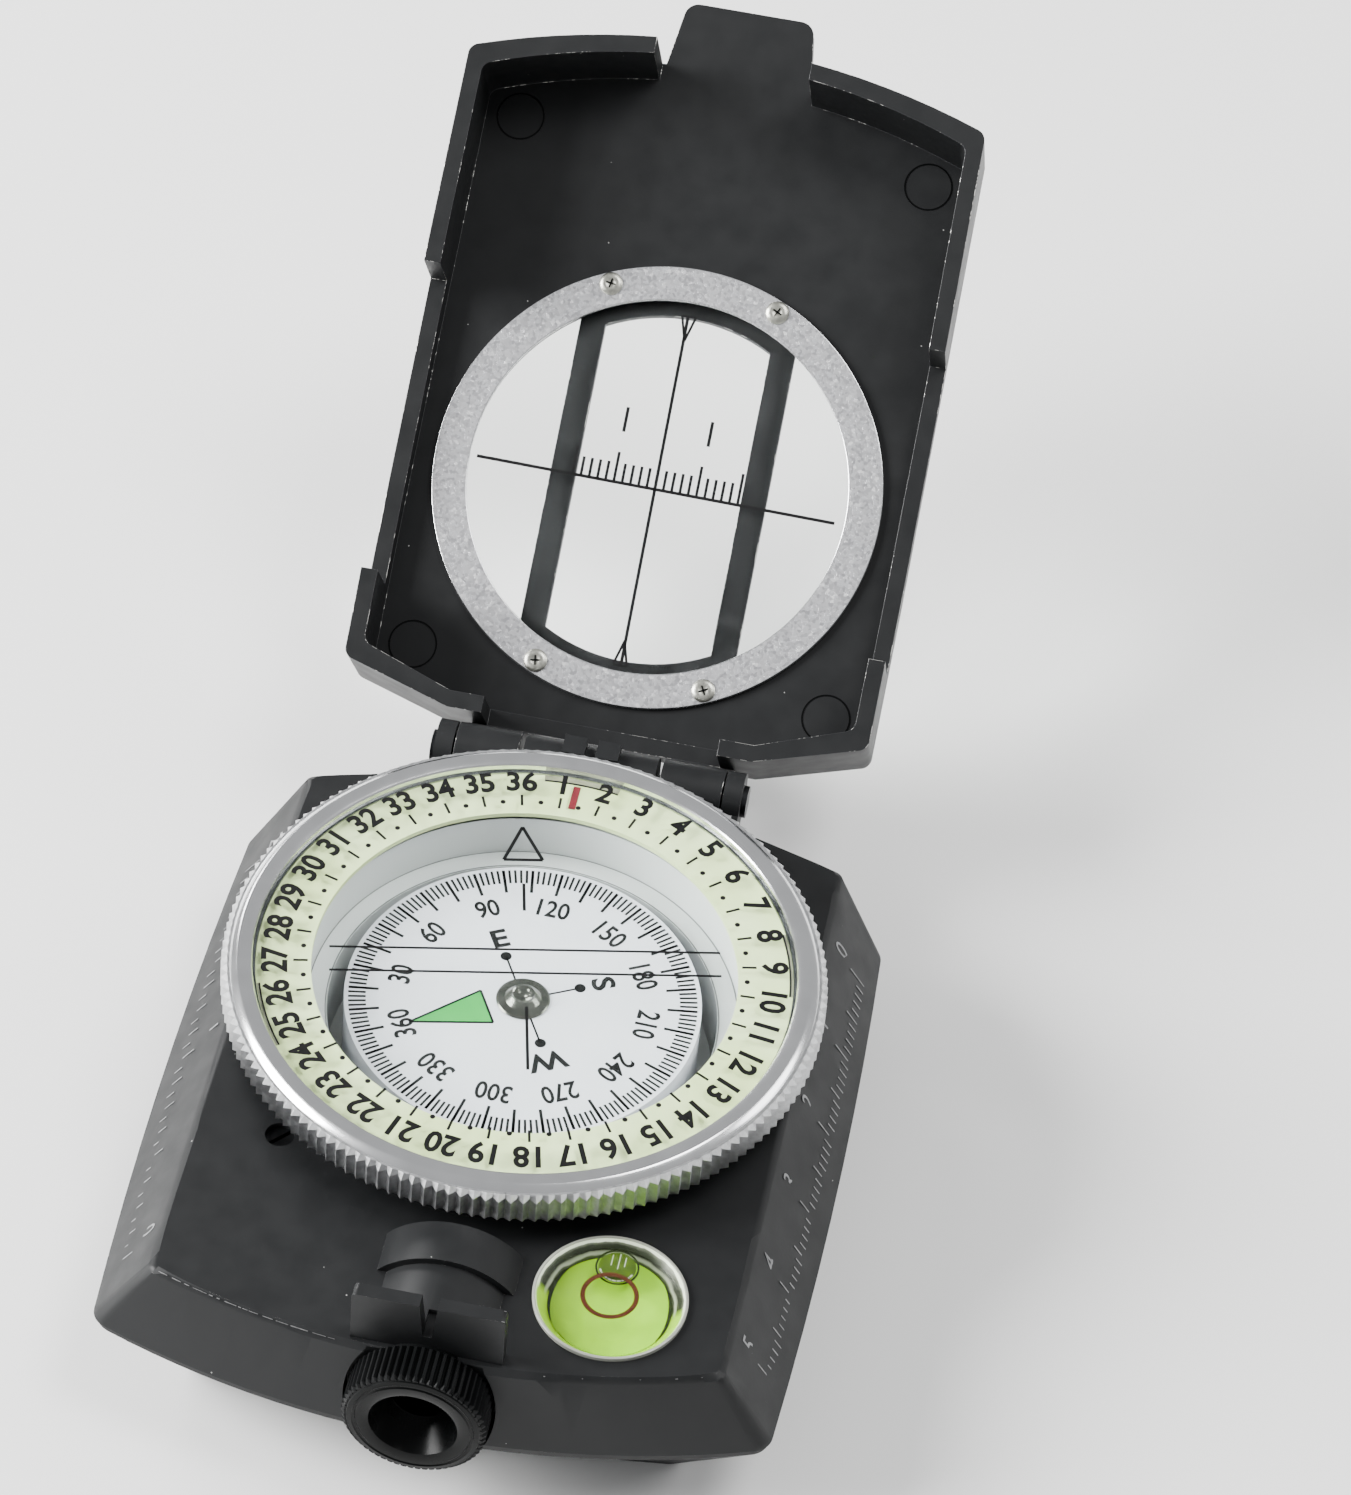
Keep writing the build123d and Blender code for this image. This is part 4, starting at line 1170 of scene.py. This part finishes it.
@dataclass
class Lid:
    """Lid casting, its window with the sighting scale, the frosted ring and its screws."""

    slope: float = 34.52
    hinge: Point = (32.73, 16.88)
    floor_n: float = -10.7
    window_d: float = 31.97
    ring_t: float = 0.6
    edge_round: float = 0.2
    screw_at: float = 21.8
    screw_angle: float = 23.5
    head_r: float = 1.2
    hair_x: float = -0.2
    hair_near: float = 13.1
    hair_far: float = 50.1
    hair_w: float = 0.34
    scale_d: float = 31.7
    tick_step: float = 0.86

    def place(self, x: float, d: float, n: float) -> Matrix:
        """Gives a place in the lid.

        Args:
            x: across the lid in millimetres.
            d: distance from the hinge along the lid.
            n: distance out of the lid's open side.

        Returns:
            The place. Local X runs along the hinge, local Y away from it and local Z out of the lid.
        """
        angle = math.radians(self.slope)
        hinge = Vector((0, self.hinge[0], self.hinge[1]))
        away = Vector((0, math.cos(angle), math.sin(angle)))
        out = Vector((0, -math.sin(angle), math.cos(angle)))
        place = Matrix((Vector((1, 0, 0)), away, out)).transposed().to_4x4()
        place.translation = (hinge + Vector((x, 0, 0)) + away * d + out * n) * MM
        return place

    def reticle(self) -> None:
        """Prints the hairline, its end marks and the side scale on the inner face of the pane."""
        marks = PrintSheet("window_reticle", Paint.INK, 0.03)
        face = self.place(0, 0, self.floor_n)
        near, far, x = self.hair_near, self.hair_far, self.hair_x
        marks.outline(bar((x + 0.1, near), (x - 0.1, far), self.hair_w), 0.0, face)
        level_hair = bar((-18.8, self.window_d - 0.07), (18.5, self.window_d - 0.47), self.hair_w)
        marks.outline(level_hair, 0.0, face)
        for end, way in ((near, 1), (far, -1)):
            tip = (x, end + way * 2.6)
            corners = [(x + side * 0.72, end) for side in (-1, 1)]
            for start, stop in ((corners[0], tip), (corners[1], tip), corners):
                marks.outline(bar(start, stop, 0.26), 0.0, face)
        for side in (-1, 1):
            middle = side * 4.4 - 0.1
            marks.outline(bar((middle, 37.05), (middle, 39.67), self.hair_w), 0.0, face)
            for tick in range(1, 11):
                at = x + side * tick * self.tick_step
                high = 3.2 if tick % 5 == 0 else 2.1
                marks.outline(bar((at, self.scale_d), (at, self.scale_d + high), 0.3), 0.0, face)
        marks.finish("lid")

    def screw_spots(self, n: float) -> list[Matrix]:
        """Gives the places of the ring's screws, each one driven home at its own angle.

        Args:
            n: distance out of the lid's open side in millimetres.

        Returns:
            A place for each of the four screws.
        """
        spots = []
        for end in (90, -90):
            for way in (-1, 1):
                angle = math.radians(end + way * self.screw_angle)
                x = self.screw_at * math.cos(angle)
                d = self.window_d + self.screw_at * math.sin(angle)
                spots.append(self.place(x, d, n) @ Matrix.Rotation(angle * 2.3, 4, "Z"))
        return spots

    def screws(self) -> None:
        """Makes the cross-recess screws of the ring; each recess is a black cross of painted shade laid on
        the head.
        """
        top = self.floor_n + self.ring_t
        r = self.head_r
        rim, crown = r * 0.86, r * 0.5
        profile = ((0, 0.0), (r, 0.0), (r, 0.12), (rim, 0.27), (crown, 0.37), (r * 0.36, 0.3), (0, 0.26))
        form = bmesh.new()
        for spot in self.screw_spots(top):
            head = turned(profile, 32, "head", (Paint.STEEL,))
            head.transform(spot)
            form.from_mesh(head)
            bpy.data.meshes.remove(head)
        mesh = mesh_of(form, "ring_screw_heads", (Paint.STEEL,))
        shade(mesh, 40.0)
        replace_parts(piece_from("ring_screw_heads", mesh, "lid"), "ring_screws")
        # painted shade: black crosses stand for the shade in the cross recesses
        recess_shades = PrintSheet("ring_screw_recess_shade", Paint.GLOSS_BLACK, 0.04)
        for spot in self.screw_spots(top + 0.345):
            for turn in (0, 90):
                cross = spot @ Matrix.Rotation(math.radians(turn), 4, "Z")
                recess_shades.outline(bar((-0.5, 0), (0.5, 0), 0.14), 0.0, cross)
        recess_shades.finish("lid")

    def ejector_marks(self) -> None:
        """Leaves the faint round marks of the casting tool on the lid's floor."""
        profile = ((2.33, 0.0), (2.5, 0.0), (2.5, 0.04), (2.33, 0.04))
        form = bmesh.new()
        for side in (-1, 1):
            for d in (11.5, 67.9):
                ring = turned(profile, 48, "mark", (Paint.GLOSS_BLACK,))
                ring.transform(self.place(side * 21.4, d, self.floor_n))
                form.from_mesh(ring)
                bpy.data.meshes.remove(ring)
        mesh = mesh_of(form, "lid_casting_marks", (Paint.GLOSS_BLACK,))
        shade(mesh)
        piece_from("lid_casting_marks", mesh, "lid")

    def build(self) -> None:
        """Builds the lid's looks."""
        enamel = (Paint.ENAMEL, Paint.ENAMEL_EDGE)
        copy_of("lid_shell", self.edge_round, enamel, "lid_casting", "lid")
        self.reticle()
        self.screws()
        self.ejector_marks()
        ring_paints = (Paint.FROSTED, Paint.BRIGHT_RIM)
        copy_of("window_ring", 0.12, ring_paints, "sight_ring", "lid")
        dress_nodes({"sight_window": Paint.PANE})


@dataclass
class Bezel:
    """Turning bezel with its knurl, and the clear disc with the printed numbers."""

    zero: float = -12.755
    teeth: int = 156
    root_r: float = 28.2
    tip_r: float = 28.83
    low_z: float = 20.5
    tooth_top_z: float = 23.95
    tooth_chamfer: float = 0.35
    shoulder_z: float = 23.4
    rim_z: float = 24.5
    disc_r: float = 25.85
    face_z: float = 24.1

    def knurl(self) -> Mesh:
        """Makes one pointed tooth and repeats it round the bezel.

        Returns:
            The mesh of all teeth.
        """
        half = math.pi / self.teeth * self.root_r * 1.02
        inner = self.root_r - 0.25
        sections = []
        for level, share in (
            (self.low_z, 0.15),
            (self.low_z + self.tooth_chamfer, 1.0),
            (self.tooth_top_z - 1.6 * self.tooth_chamfer, 1.0),
            (self.tooth_top_z, 0.1),
        ):
            tip = self.root_r + (self.tip_r - self.root_r) * share
            corners = ((inner, -half), (self.root_r, -half), (tip, 0.0), (self.root_r, half), (inner, half))
            sections.append([(x, y, level) for x, y in corners])
        turn = 360 / self.teeth
        knurl = Repeat.make(lofted(sections), Paint.KNURL, self.teeth, turn=turn, wobble=0.05)
        knurl.polygons.foreach_set("use_smooth", [False] * len(knurl.polygons))
        return knurl

    def ring(self) -> None:
        """Builds the ring: a turned body with a bright rim, and the knurl round it."""
        out = self.root_r
        profile = (
            (26.3, self.low_z),
            (out, self.low_z),
            (out, self.shoulder_z + 0.3),
            (out - 0.25, self.shoulder_z + 0.62),
            (27.55, self.rim_z - 0.12),
            (27.3, self.rim_z),
            (26.45, self.rim_z),
            (self.disc_r + 0.12, self.rim_z - 0.14),
            (self.disc_r, self.rim_z - 0.3),
            (self.disc_r, 23.3),
            (25.6, 23.3),
            (25.6, 22.5),
            (23.75, 22.5),
            (23.75, self.low_z),
        )
        body = turned(profile, 384, "bezel", (Paint.BRIGHT_RIM,))
        shade(body, 24.0)
        mesh = joined((body, self.knurl()), "bezel_knurled", (Paint.BRIGHT_RIM, Paint.KNURL))
        piece = piece_from("bezel_knurled", mesh, "bezel")
        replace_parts(piece, "bezel_ring")

    def numbers(self) -> None:
        """Prints the numbers 1 to 36, the ticks and the dots on top of the disc."""
        marks = PrintSheet("dial_numbers", Paint.INK, 0.03)
        level = self.face_z
        for number in range(1, 37):
            azimuth = self.zero + 10 * number
            marks.figure(str(number), 2.45, turned_to(azimuth, 23.85, level), bold=0.1, narrow=0.92)
        tick = slab(bar((0, 20.6), (0, 22.0), 0.26), level, level + 0.03)
        marks.add(Repeat.make(tick, Paint.INK, 36, turn=10, first=self.zero))
        dot = slab(round_outline((0, 21.1), 0.26, 16), level, level + 0.03)
        marks.add(Repeat.make(dot, Paint.INK, 36, turn=10, first=self.zero + 5))
        marks.finish("bezel")

    def pointer(self) -> None:
        """Prints the pointer triangle and the lines across the disc."""
        marks = PrintSheet("dial_pointer", Paint.INK, 0.03)
        spin = Matrix.Rotation(-math.radians(self.zero), 4, "Z")
        spin.translation.z = self.face_z * MM
        line = 0.34
        base, half, apex = 13.4, 1.88, 17.7
        for a, b in (((-half, base), (half, base)), ((half, base), (0, apex)), ((0, apex), (-half, base))):
            marks.outline(bar(a, b, line), 0.0, spin)
        marks.outline(bar((0, 6.8), (0, 10.3), 0.3), 0.0, spin)
        marks.outline(bar((0, -5.4), (0, -13.2), 0.3), 0.0, spin)
        for offset in (1.8, -1.15):
            marks.outline(bar((-18.6, offset), (18.6, offset), 0.26), 0.0, spin)
        marks.finish("bezel")

    def build(self) -> None:
        """Builds the bezel's looks."""
        self.ring()
        self.numbers()
        self.pointer()
        dress_nodes({"dial_disc": Paint.PANE})


@dataclass
class Card:
    """The swinging card with its printed scale, letters and north arrow."""

    north: float = -118.5
    face_z: float = 18.7
    outer_r: float = 16.7

    def scale(self) -> None:
        """Prints the degree scale, its numbers, the letters and their spokes."""
        marks = PrintSheet("card_scale", Paint.INK, 0.02)
        level = self.face_z
        short = slab(bar((0, 15.0), (0, self.outer_r), 0.24), level, level + 0.02)
        marks.add(Repeat.make(short, Paint.INK, 180, turn=2, first=self.north))
        long = slab(bar((0, 13.8), (0, self.outer_r), 0.3), level, level + 0.02)
        marks.add(Repeat.make(long, Paint.INK, 36, turn=10, first=self.north))
        for number in range(30, 361, 30):
            place = turned_to(self.north + number, 12.1, level)
            marks.figure(str(number), 2.15, place, bold=0.06, narrow=0.8)
        for letter, bearing in (("E", 90), ("S", 180), ("W", 270)):
            marks.figure(letter, 2.2, turned_to(self.north + bearing, 8.1, level), bold=0.09, narrow=1.15)
            spin = turned_to(self.north + bearing, 0.0, level)
            marks.outline(round_outline((0, 5.7), 0.55, 20), 0.0, spin)
            marks.outline(bar((0, 2.4), (0, 5.7), 0.2), 0.0, spin)
        marks.finish("card")

    def arrow(self) -> None:
        """Prints the green north arrow with its black outline."""
        spin = turned_to(self.north, 0.0, self.face_z)
        tip, base, half = (0.0, 11.3), 3.6, 2.1
        corners = ((-half, base), (half, base), tip)
        green = PrintSheet("card_arrow", Paint.GREEN, 0.02)
        green.outline(corners, 0.0, spin)
        green.finish("card")
        outline = PrintSheet("card_arrow_outline", Paint.INK, 0.03)
        for a, b in zip(corners, corners[1:] + corners[:1]):
            outline.outline(bar(a, b, 0.22), 0.0, spin)
        outline.finish("card")

    def hub(self) -> None:
        """Builds the stepped cap of the jewel, with its dimple, over the pivot."""
        z = self.face_z
        profile = (
            (0.75, z - 1.4),
            (1.4, z - 1.4),
            (1.4, z + 0.01),
            (2.55, z + 0.01),
            (2.6, z + 0.1),
            (2.45, z + 0.22),
            (1.75, z + 0.32),
            (1.6, z + 0.45),
            (1.3, z + 0.7),
            (1.15, z + 0.8),
            (1.05, z + 1.0),
            (0.85, z + 1.08),
            (0.62, z + 1.02),
            (0.5, z + 0.9),
            (0.35, z + 0.98),
            (0, z + 1.0),
            (0, z + 0.6),
            (0.75, z + 0.5),
        )
        mesh = turned(profile, 64, "jewel_cap", (Paint.JEWEL,))
        shade(mesh, 28.0)
        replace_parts(piece_from("jewel_cap", mesh, "card"), "card_jewel")

    def build(self) -> None:
        """Builds the card's looks."""
        self.scale()
        self.arrow()
        self.hub()
        dress_nodes({"compass_card": Paint.CARD, "card_magnet": Paint.PIN_STEEL})


@dataclass
class Capsule:
    """White capsule, its window, the luminous ring with the index, and the pivot."""

    ring_z: float = 23.2
    ledge_z: float = 17.1
    index_w: float = 0.7
    index_from: float = 21.5
    index_to: float = 24.5

    def arc(self, start: float, end: float, inner: float, outer: float) -> list[Point]:
        """Gives part of a flat ring as an outline, between two clockwise azimuths in degrees."""
        steps = 24
        span = [start + (end - start) * i / steps for i in range(steps + 1)]
        return [compass_point(a, outer) for a in span] + [compass_point(a, inner) for a in reversed(span)]

    def recesses(self) -> None:
        """Shades the shallow recesses at the rim of the luminous ring, and their dark inner edges."""
        shades = PrintSheet("luminous_recesses", Paint.RECESS, 0.02)
        edges = PrintSheet("luminous_recess_edges", Paint.INK, 0.05)
        for start, end, inner in ((-7.4, 9.6, 24.8), (66.0, 84.0, 25.25), (-126.0, -108.0, 25.25)):
            shades.outline(self.arc(start, end, inner + 0.1, 25.53), self.ring_z)
            edges.outline(self.arc(start, end, inner - 0.08, inner + 0.1), self.ring_z)
        shades.finish("case")
        edges.finish("case")

    def crevices(self) -> None:
        """Shades the thin crevices at both edges of the ledge inside the capsule."""
        lines = PrintSheet("capsule_crevices", Paint.CREVICE, 0.015)
        for radius, width in ((18.76, 0.14), (20.62, 0.12)):
            outer = round_outline((0, 0), radius + width, 128)
            lines.outline(outer, self.ledge_z, hole=round_outline((0, 0), radius, 128))
        lines.finish("case")

    def index(self) -> None:
        """Paints the slim red index line."""
        line = PrintSheet("index_line", Paint.RED, 0.04)
        line.outline(bar((0.1, self.index_from), (0.1, self.index_to), self.index_w), self.ring_z)
        piece = line.finish("case")
        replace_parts(piece, "index_mark")

    def build(self) -> None:
        """Builds the capsule's looks."""
        self.recesses()
        self.crevices()
        self.index()
        dress_nodes(
            {
                "capsule_cup": Paint.CAPSULE,
                "capsule_gasket": Paint.RUBBER,
                "capsule_window": Paint.PANE,
                "pivot_post": Paint.STEEL,
                "luminous_ring": Paint.LUMINOUS,
            }
        )


@dataclass
class BubbleLevel:
    """Bubble level: clear cup with a sloping wall, dyed liquid, bubble, orange ring and dome."""

    x: float = 15.1
    y: float = -32.79
    out_r: float = 7.2
    rim_r: float = 6.92
    pool_r: float = 5.72
    low_z: float = 14.5
    pool_z: float = 16.7
    rim_z: float = 18.2
    dome_z: float = 18.9
    bubble_at: Point = (-0.05, 3.45)
    bubble_r: float = 2.05
    circle_at: Point = (-0.05, -0.3)
    circle_r: float = 2.3

    def at(self, x: float, y: float, z: float) -> Matrix:
        """Gives a place counted from the level's own axis, in millimetres."""
        return Matrix.Translation(((self.x + x) * MM, (self.y + y) * MM, z * MM))

    def revolved(
        self, name: str, profile: Sequence[Point], paint: Paint, place: Matrix, angle: float = 40.0
    ) -> bpy.types.Object:
        """Turns a profile into a piece on the case.

        Args:
            name: the piece's name.
            profile: radius and level of each corner, going round the section.
            paint: its finish.
            place: where its axis stands.
            angle: edges sharper than this stay sharp, in degrees.

        Returns:
            The piece.
        """
        mesh = turned(profile, 96, name, (paint,))
        mesh.transform(place)
        shade(mesh, angle)
        return piece_from(name, mesh, "case")

    def cup(self) -> None:
        """Builds the cup's bright rim and its sloping inner wall."""
        rim = (
            (self.rim_r, self.low_z),
            (self.out_r, self.low_z),
            (self.out_r, self.rim_z - 0.05),
            (self.out_r - 0.06, self.rim_z),
            (self.rim_r + 0.04, self.rim_z),
            (self.rim_r, self.rim_z - 0.06),
        )
        axis = self.at(0, 0, 0)
        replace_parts(self.revolved("level_rim", rim, Paint.LEVEL_RIM, axis), "level_cup")
        wall = (
            (self.pool_r, self.low_z + 0.4),
            (self.rim_r - 0.01, self.low_z + 0.4),
            (self.rim_r - 0.01, self.rim_z - 0.1),
            (self.pool_r + 0.45, self.pool_z + 0.55),
            (self.pool_r, self.pool_z - 0.05),
        )
        self.revolved("level_wall", wall, Paint.LEVEL_WALL, axis)

    def liquid(self) -> None:
        """Builds the dyed liquid's bright floor, with dark crescents of painted shade at both sides of its
        edge.
        """
        pool = (
            (0, self.low_z + 0.2),
            (self.pool_r - 0.01, self.low_z + 0.4),
            (self.pool_r - 0.01, self.pool_z),
            (0, self.pool_z),
        )
        piece = self.revolved("level_pool", pool, Paint.LIQUID, self.at(0, 0, 0))
        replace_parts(piece, "level_fluid")
        # painted shade: dark crescents along both sides of the liquid's edge
        edges = PrintSheet("level_pool_shade_crescents", Paint.BUBBLE_EDGE, 0.02)
        for side in (-1, 1):
            steps = 20
            outer, inner = [], []
            for i in range(steps + 1):
                azimuth = side * (52 + 70 * i / steps)
                swell = math.sin(math.pi * i / steps)
                outer.append(compass_point(azimuth, self.pool_r + 0.02))
                inner.append(compass_point(azimuth, self.pool_r - 0.03 - 0.3 * swell))
            edges.outline(outer + inner[::-1], 0.0, self.at(0, 0, self.pool_z + 0.01))
        edges.finish("case")

    def bubble(self) -> None:
        """Builds the bubble under the dome, with its dark edge as a ring of painted shade and pale glints as
        painted highlights on it.
        """
        r = self.bubble_r
        place = self.at(*self.bubble_at, self.rim_z)
        face = ((0, 0.0), (r * 0.86, 0.0), (r * 0.86, 0.02), (0, 0.02))
        self.revolved("level_bubble", face, Paint.BUBBLE, place)
        # painted shade: the dark ring round the bubble
        edge = ((r * 0.9, 0.0), (r, 0.0), (r, 0.03), (r * 0.9, 0.03))
        self.revolved("level_bubble_edge", edge, Paint.BUBBLE_EDGE, place)
        # painted highlights: pale glints on the bubble, in the cup rim's finish
        glints = PrintSheet("level_bubble_glints", Paint.LEVEL_RIM, 0.02)
        for x, low, high in ((-0.62, 0.1, 1.35), (0.05, -0.2, 1.6), (0.62, 0.2, 1.3)):
            glints.outline(bar((x, low), (x, high), 0.09), 0.0, place @ Matrix.Translation((0, 0, 0.02 * MM)))
        for i in range(9):
            start = compass_point(110 + 16 * i, r * 0.78)
            end = compass_point(110 + 16 * (i + 0.8), r * 0.78)
            glints.outline(bar(start, end, 0.16), 0.0, place @ Matrix.Translation((0, 0, 0.02 * MM)))
        glints.finish("case")

    def window(self) -> None:
        """Builds the thin clear dome and the ring printed on it."""
        high = self.dome_z - self.rim_z
        sphere = (self.rim_r**2 + high**2) / (2 * high)
        steps, wall = 10, 0.12
        outer, inner = [], []
        for i in range(steps + 1):
            r = self.rim_r * i / steps
            rise = math.sqrt(sphere**2 - r**2) - (sphere - high)
            outer.append((r, self.rim_z + rise))
            inner.append((r, self.rim_z + rise - wall))
        profile = outer + inner[::-1]
        piece = self.revolved("level_dome", profile, Paint.DOME, self.at(0, 0, 0))
        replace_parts(piece, "level_window")
        r = self.circle_r
        circle = ((r - 0.05, 0.0), (r + 0.4, 0.0), (r + 0.4, 0.03), (r - 0.05, 0.03))
        place = self.at(*self.circle_at, self.dome_z - 0.25)
        self.revolved("level_circle", circle, Paint.ORANGE, place)

    def build(self) -> None:
        """Builds the level's looks."""
        self.cup()
        self.liquid()
        self.bubble()
        self.window()


@dataclass
class Eyepiece:
    """Focus ring with its knurl and conical mouth, and the lens behind it."""

    axis_z: float = 13.0
    back: float = 43.4
    length: float = 4.3
    ring_r: float = 6.76
    root_r: float = 6.4
    mouth_r: float = 4.16
    throat_r: float = 2.7
    throat_at: float = 0.9
    groove_r: float = 5.54
    neck_r: float = 4.5
    neck_bore_r: float = 3.7
    neck_l: float = 1.28
    teeth: int = 60

    def place(self) -> Matrix:
        """Gives the ring's place: local Z runs forwards along the eyepiece axis."""
        place = Matrix.Rotation(math.pi / 2, 4, "X")
        place.translation = Vector((0, -self.back * MM, self.axis_z * MM))
        return place

    def knurl(self) -> Mesh:
        """Makes one blunt tooth and repeats it round the ring.

        Returns:
            The mesh of all teeth.
        """
        half = math.pi / self.teeth * self.root_r * 0.8
        sections = []
        for level, share in ((0.15, 0.1), (0.4, 1.0), (self.length - 0.55, 1.0), (self.length - 0.2, 0.1)):
            tip = self.root_r + (self.ring_r - self.root_r) * share
            corners = ((self.root_r - 0.2, -half), (self.root_r, -half), (tip, -half * 0.35))
            mirrored = tuple((x, -y) for x, y in reversed(corners))
            sections.append([(x, y, level) for x, y in corners + mirrored])
        knurl = Repeat.make(lofted(sections), Paint.ANODISED, self.teeth, turn=360 / self.teeth)
        knurl.polygons.foreach_set("use_smooth", [False] * len(knurl.polygons))
        return knurl

    def build(self) -> None:
        """Builds the eyepiece's looks."""
        top = self.length
        profile = (
            (self.neck_bore_r, -self.neck_l),
            (self.neck_r, -self.neck_l),
            (self.neck_r, 0.0),
            (self.root_r - 0.15, 0.0),
            (self.root_r, 0.2),
            (self.root_r, top - 0.4),
            (self.root_r - 0.25, top - 0.1),
            (self.groove_r + 0.21, top - 0.02),
            (self.groove_r + 0.08, top - 0.12),
            (self.groove_r - 0.09, top - 0.12),
            (self.groove_r - 0.22, top),
            (self.mouth_r + 0.34, top),
            (self.mouth_r, top - 0.14),
            (self.throat_r + 0.1, self.throat_at + 0.1),
            (self.throat_r, self.throat_at),
            (self.throat_r, 0.0),
            (self.neck_bore_r, 0.0),
        )
        body = turned(profile, 128, "ring", (Paint.ANODISED,))
        shade(body, 25.0)
        mesh = joined((body, self.knurl()), "focus_knob", (Paint.GLOSS_BLACK, Paint.ANODISED))
        mesh.transform(self.place())
        piece = piece_from("focus_knob", mesh, "focus")
        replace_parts(piece, "focus_ring")
        dress_nodes({"lens_cell": Paint.ANODISED, "lens_retainer": Paint.ANODISED, "eye_lens": Paint.LENS})


# ---------------------------------------------------------------- studio
@dataclass
class Studio:
    """Pale floor, soft lamps and the camera."""

    floor_half: float = 4.0
    camera_at: tuple[float, float, float] = (0.0588816, -0.3760421, 0.4504367)
    camera_turn: tuple[float, float, float] = (43.80249, -3.64229, 10.83988)
    lens: float = 145.0
    world_strength: float = 0.5
    world_colour: str = "f6f7f9"
    floor_colour: str = "f4f4f3"
    floor_roughness: float = 0.9
    floor_drop: float = 0.02
    sensor: float = 36.0
    clip: float = 0.01
    lamp_aim: tuple[float, float, float] = (0.0, 0.02, 0.02)
    lamps: list[tuple[str, tuple[float, float, float], float, float]] = field(
        default_factory=lambda: [
            ("key", (-0.85, -0.15, 0.5), 0.6, 34.0),
            ("fill", (0.85, 0.3, 0.55), 0.5, 3.5),
            ("top", (0.42, 0.1, 1.0), 0.5, 7.0),
            ("rim", (-0.5, 0.6, 0.35), 0.3, 4.0),
        ]
    )

    def build(self) -> None:
        """Sets the stage."""
        scene = bpy.context.scene
        world = bpy.data.worlds.new("studio")
        world.use_nodes = True
        background = world.node_tree.nodes["Background"].inputs
        background["Color"].default_value = linear(self.world_colour)
        background["Strength"].default_value = self.world_strength
        scene.world = world
        form = bmesh.new()
        bmesh.ops.create_grid(form, x_segments=1, y_segments=1, size=self.floor_half)
        mesh = bpy.data.meshes.new("floor")
        form.to_mesh(mesh)
        form.free()
        material = bpy.data.materials.new("floor_paper")
        material.use_nodes = True
        surface = material.node_tree.nodes["Principled BSDF"].inputs
        surface["Base Color"].default_value = linear(self.floor_colour)
        surface["Roughness"].default_value = self.floor_roughness
        mesh.materials.append(material)
        floor = bpy.data.objects.new("floor", mesh)
        scene.collection.objects.link(floor)
        floor.location.z = -self.floor_drop * MM
        for name, place, size, power in self.lamps:
            light = bpy.data.lights.new(name, "AREA")
            light.shape = "DISK"
            light.size = size
            light.energy = power
            lamp = bpy.data.objects.new(name, light)
            lamp.location = place
            beam = Vector(self.lamp_aim) - Vector(place)
            lamp.rotation_euler = beam.to_track_quat("-Z", "Y").to_euler()
            scene.collection.objects.link(lamp)
        camera = bpy.data.cameras.new("camera")
        camera.lens = self.lens
        camera.sensor_width = self.sensor
        camera.clip_start = self.clip
        holder = bpy.data.objects.new("camera", camera)
        holder.location = self.camera_at
        holder.rotation_euler = [math.radians(a) for a in self.camera_turn]
        scene.collection.objects.link(holder)
        scene.camera = holder


def main() -> None:
    """Builds the compass and its stage."""
    logging.basicConfig(level=logging.INFO, format="%(name)s %(message)s")
    assemblies: tuple[Any, ...] = (
        Studio(),
        Case(),
        Lid(),
        Bezel(),
        Card(),
        Capsule(),
        BubbleLevel(),
        Eyepiece(),
    )
    for assembly in assemblies:
        LOG.info("building %s", type(assembly).__name__)
        assembly.build()


if __name__ == "__main__":
    main()
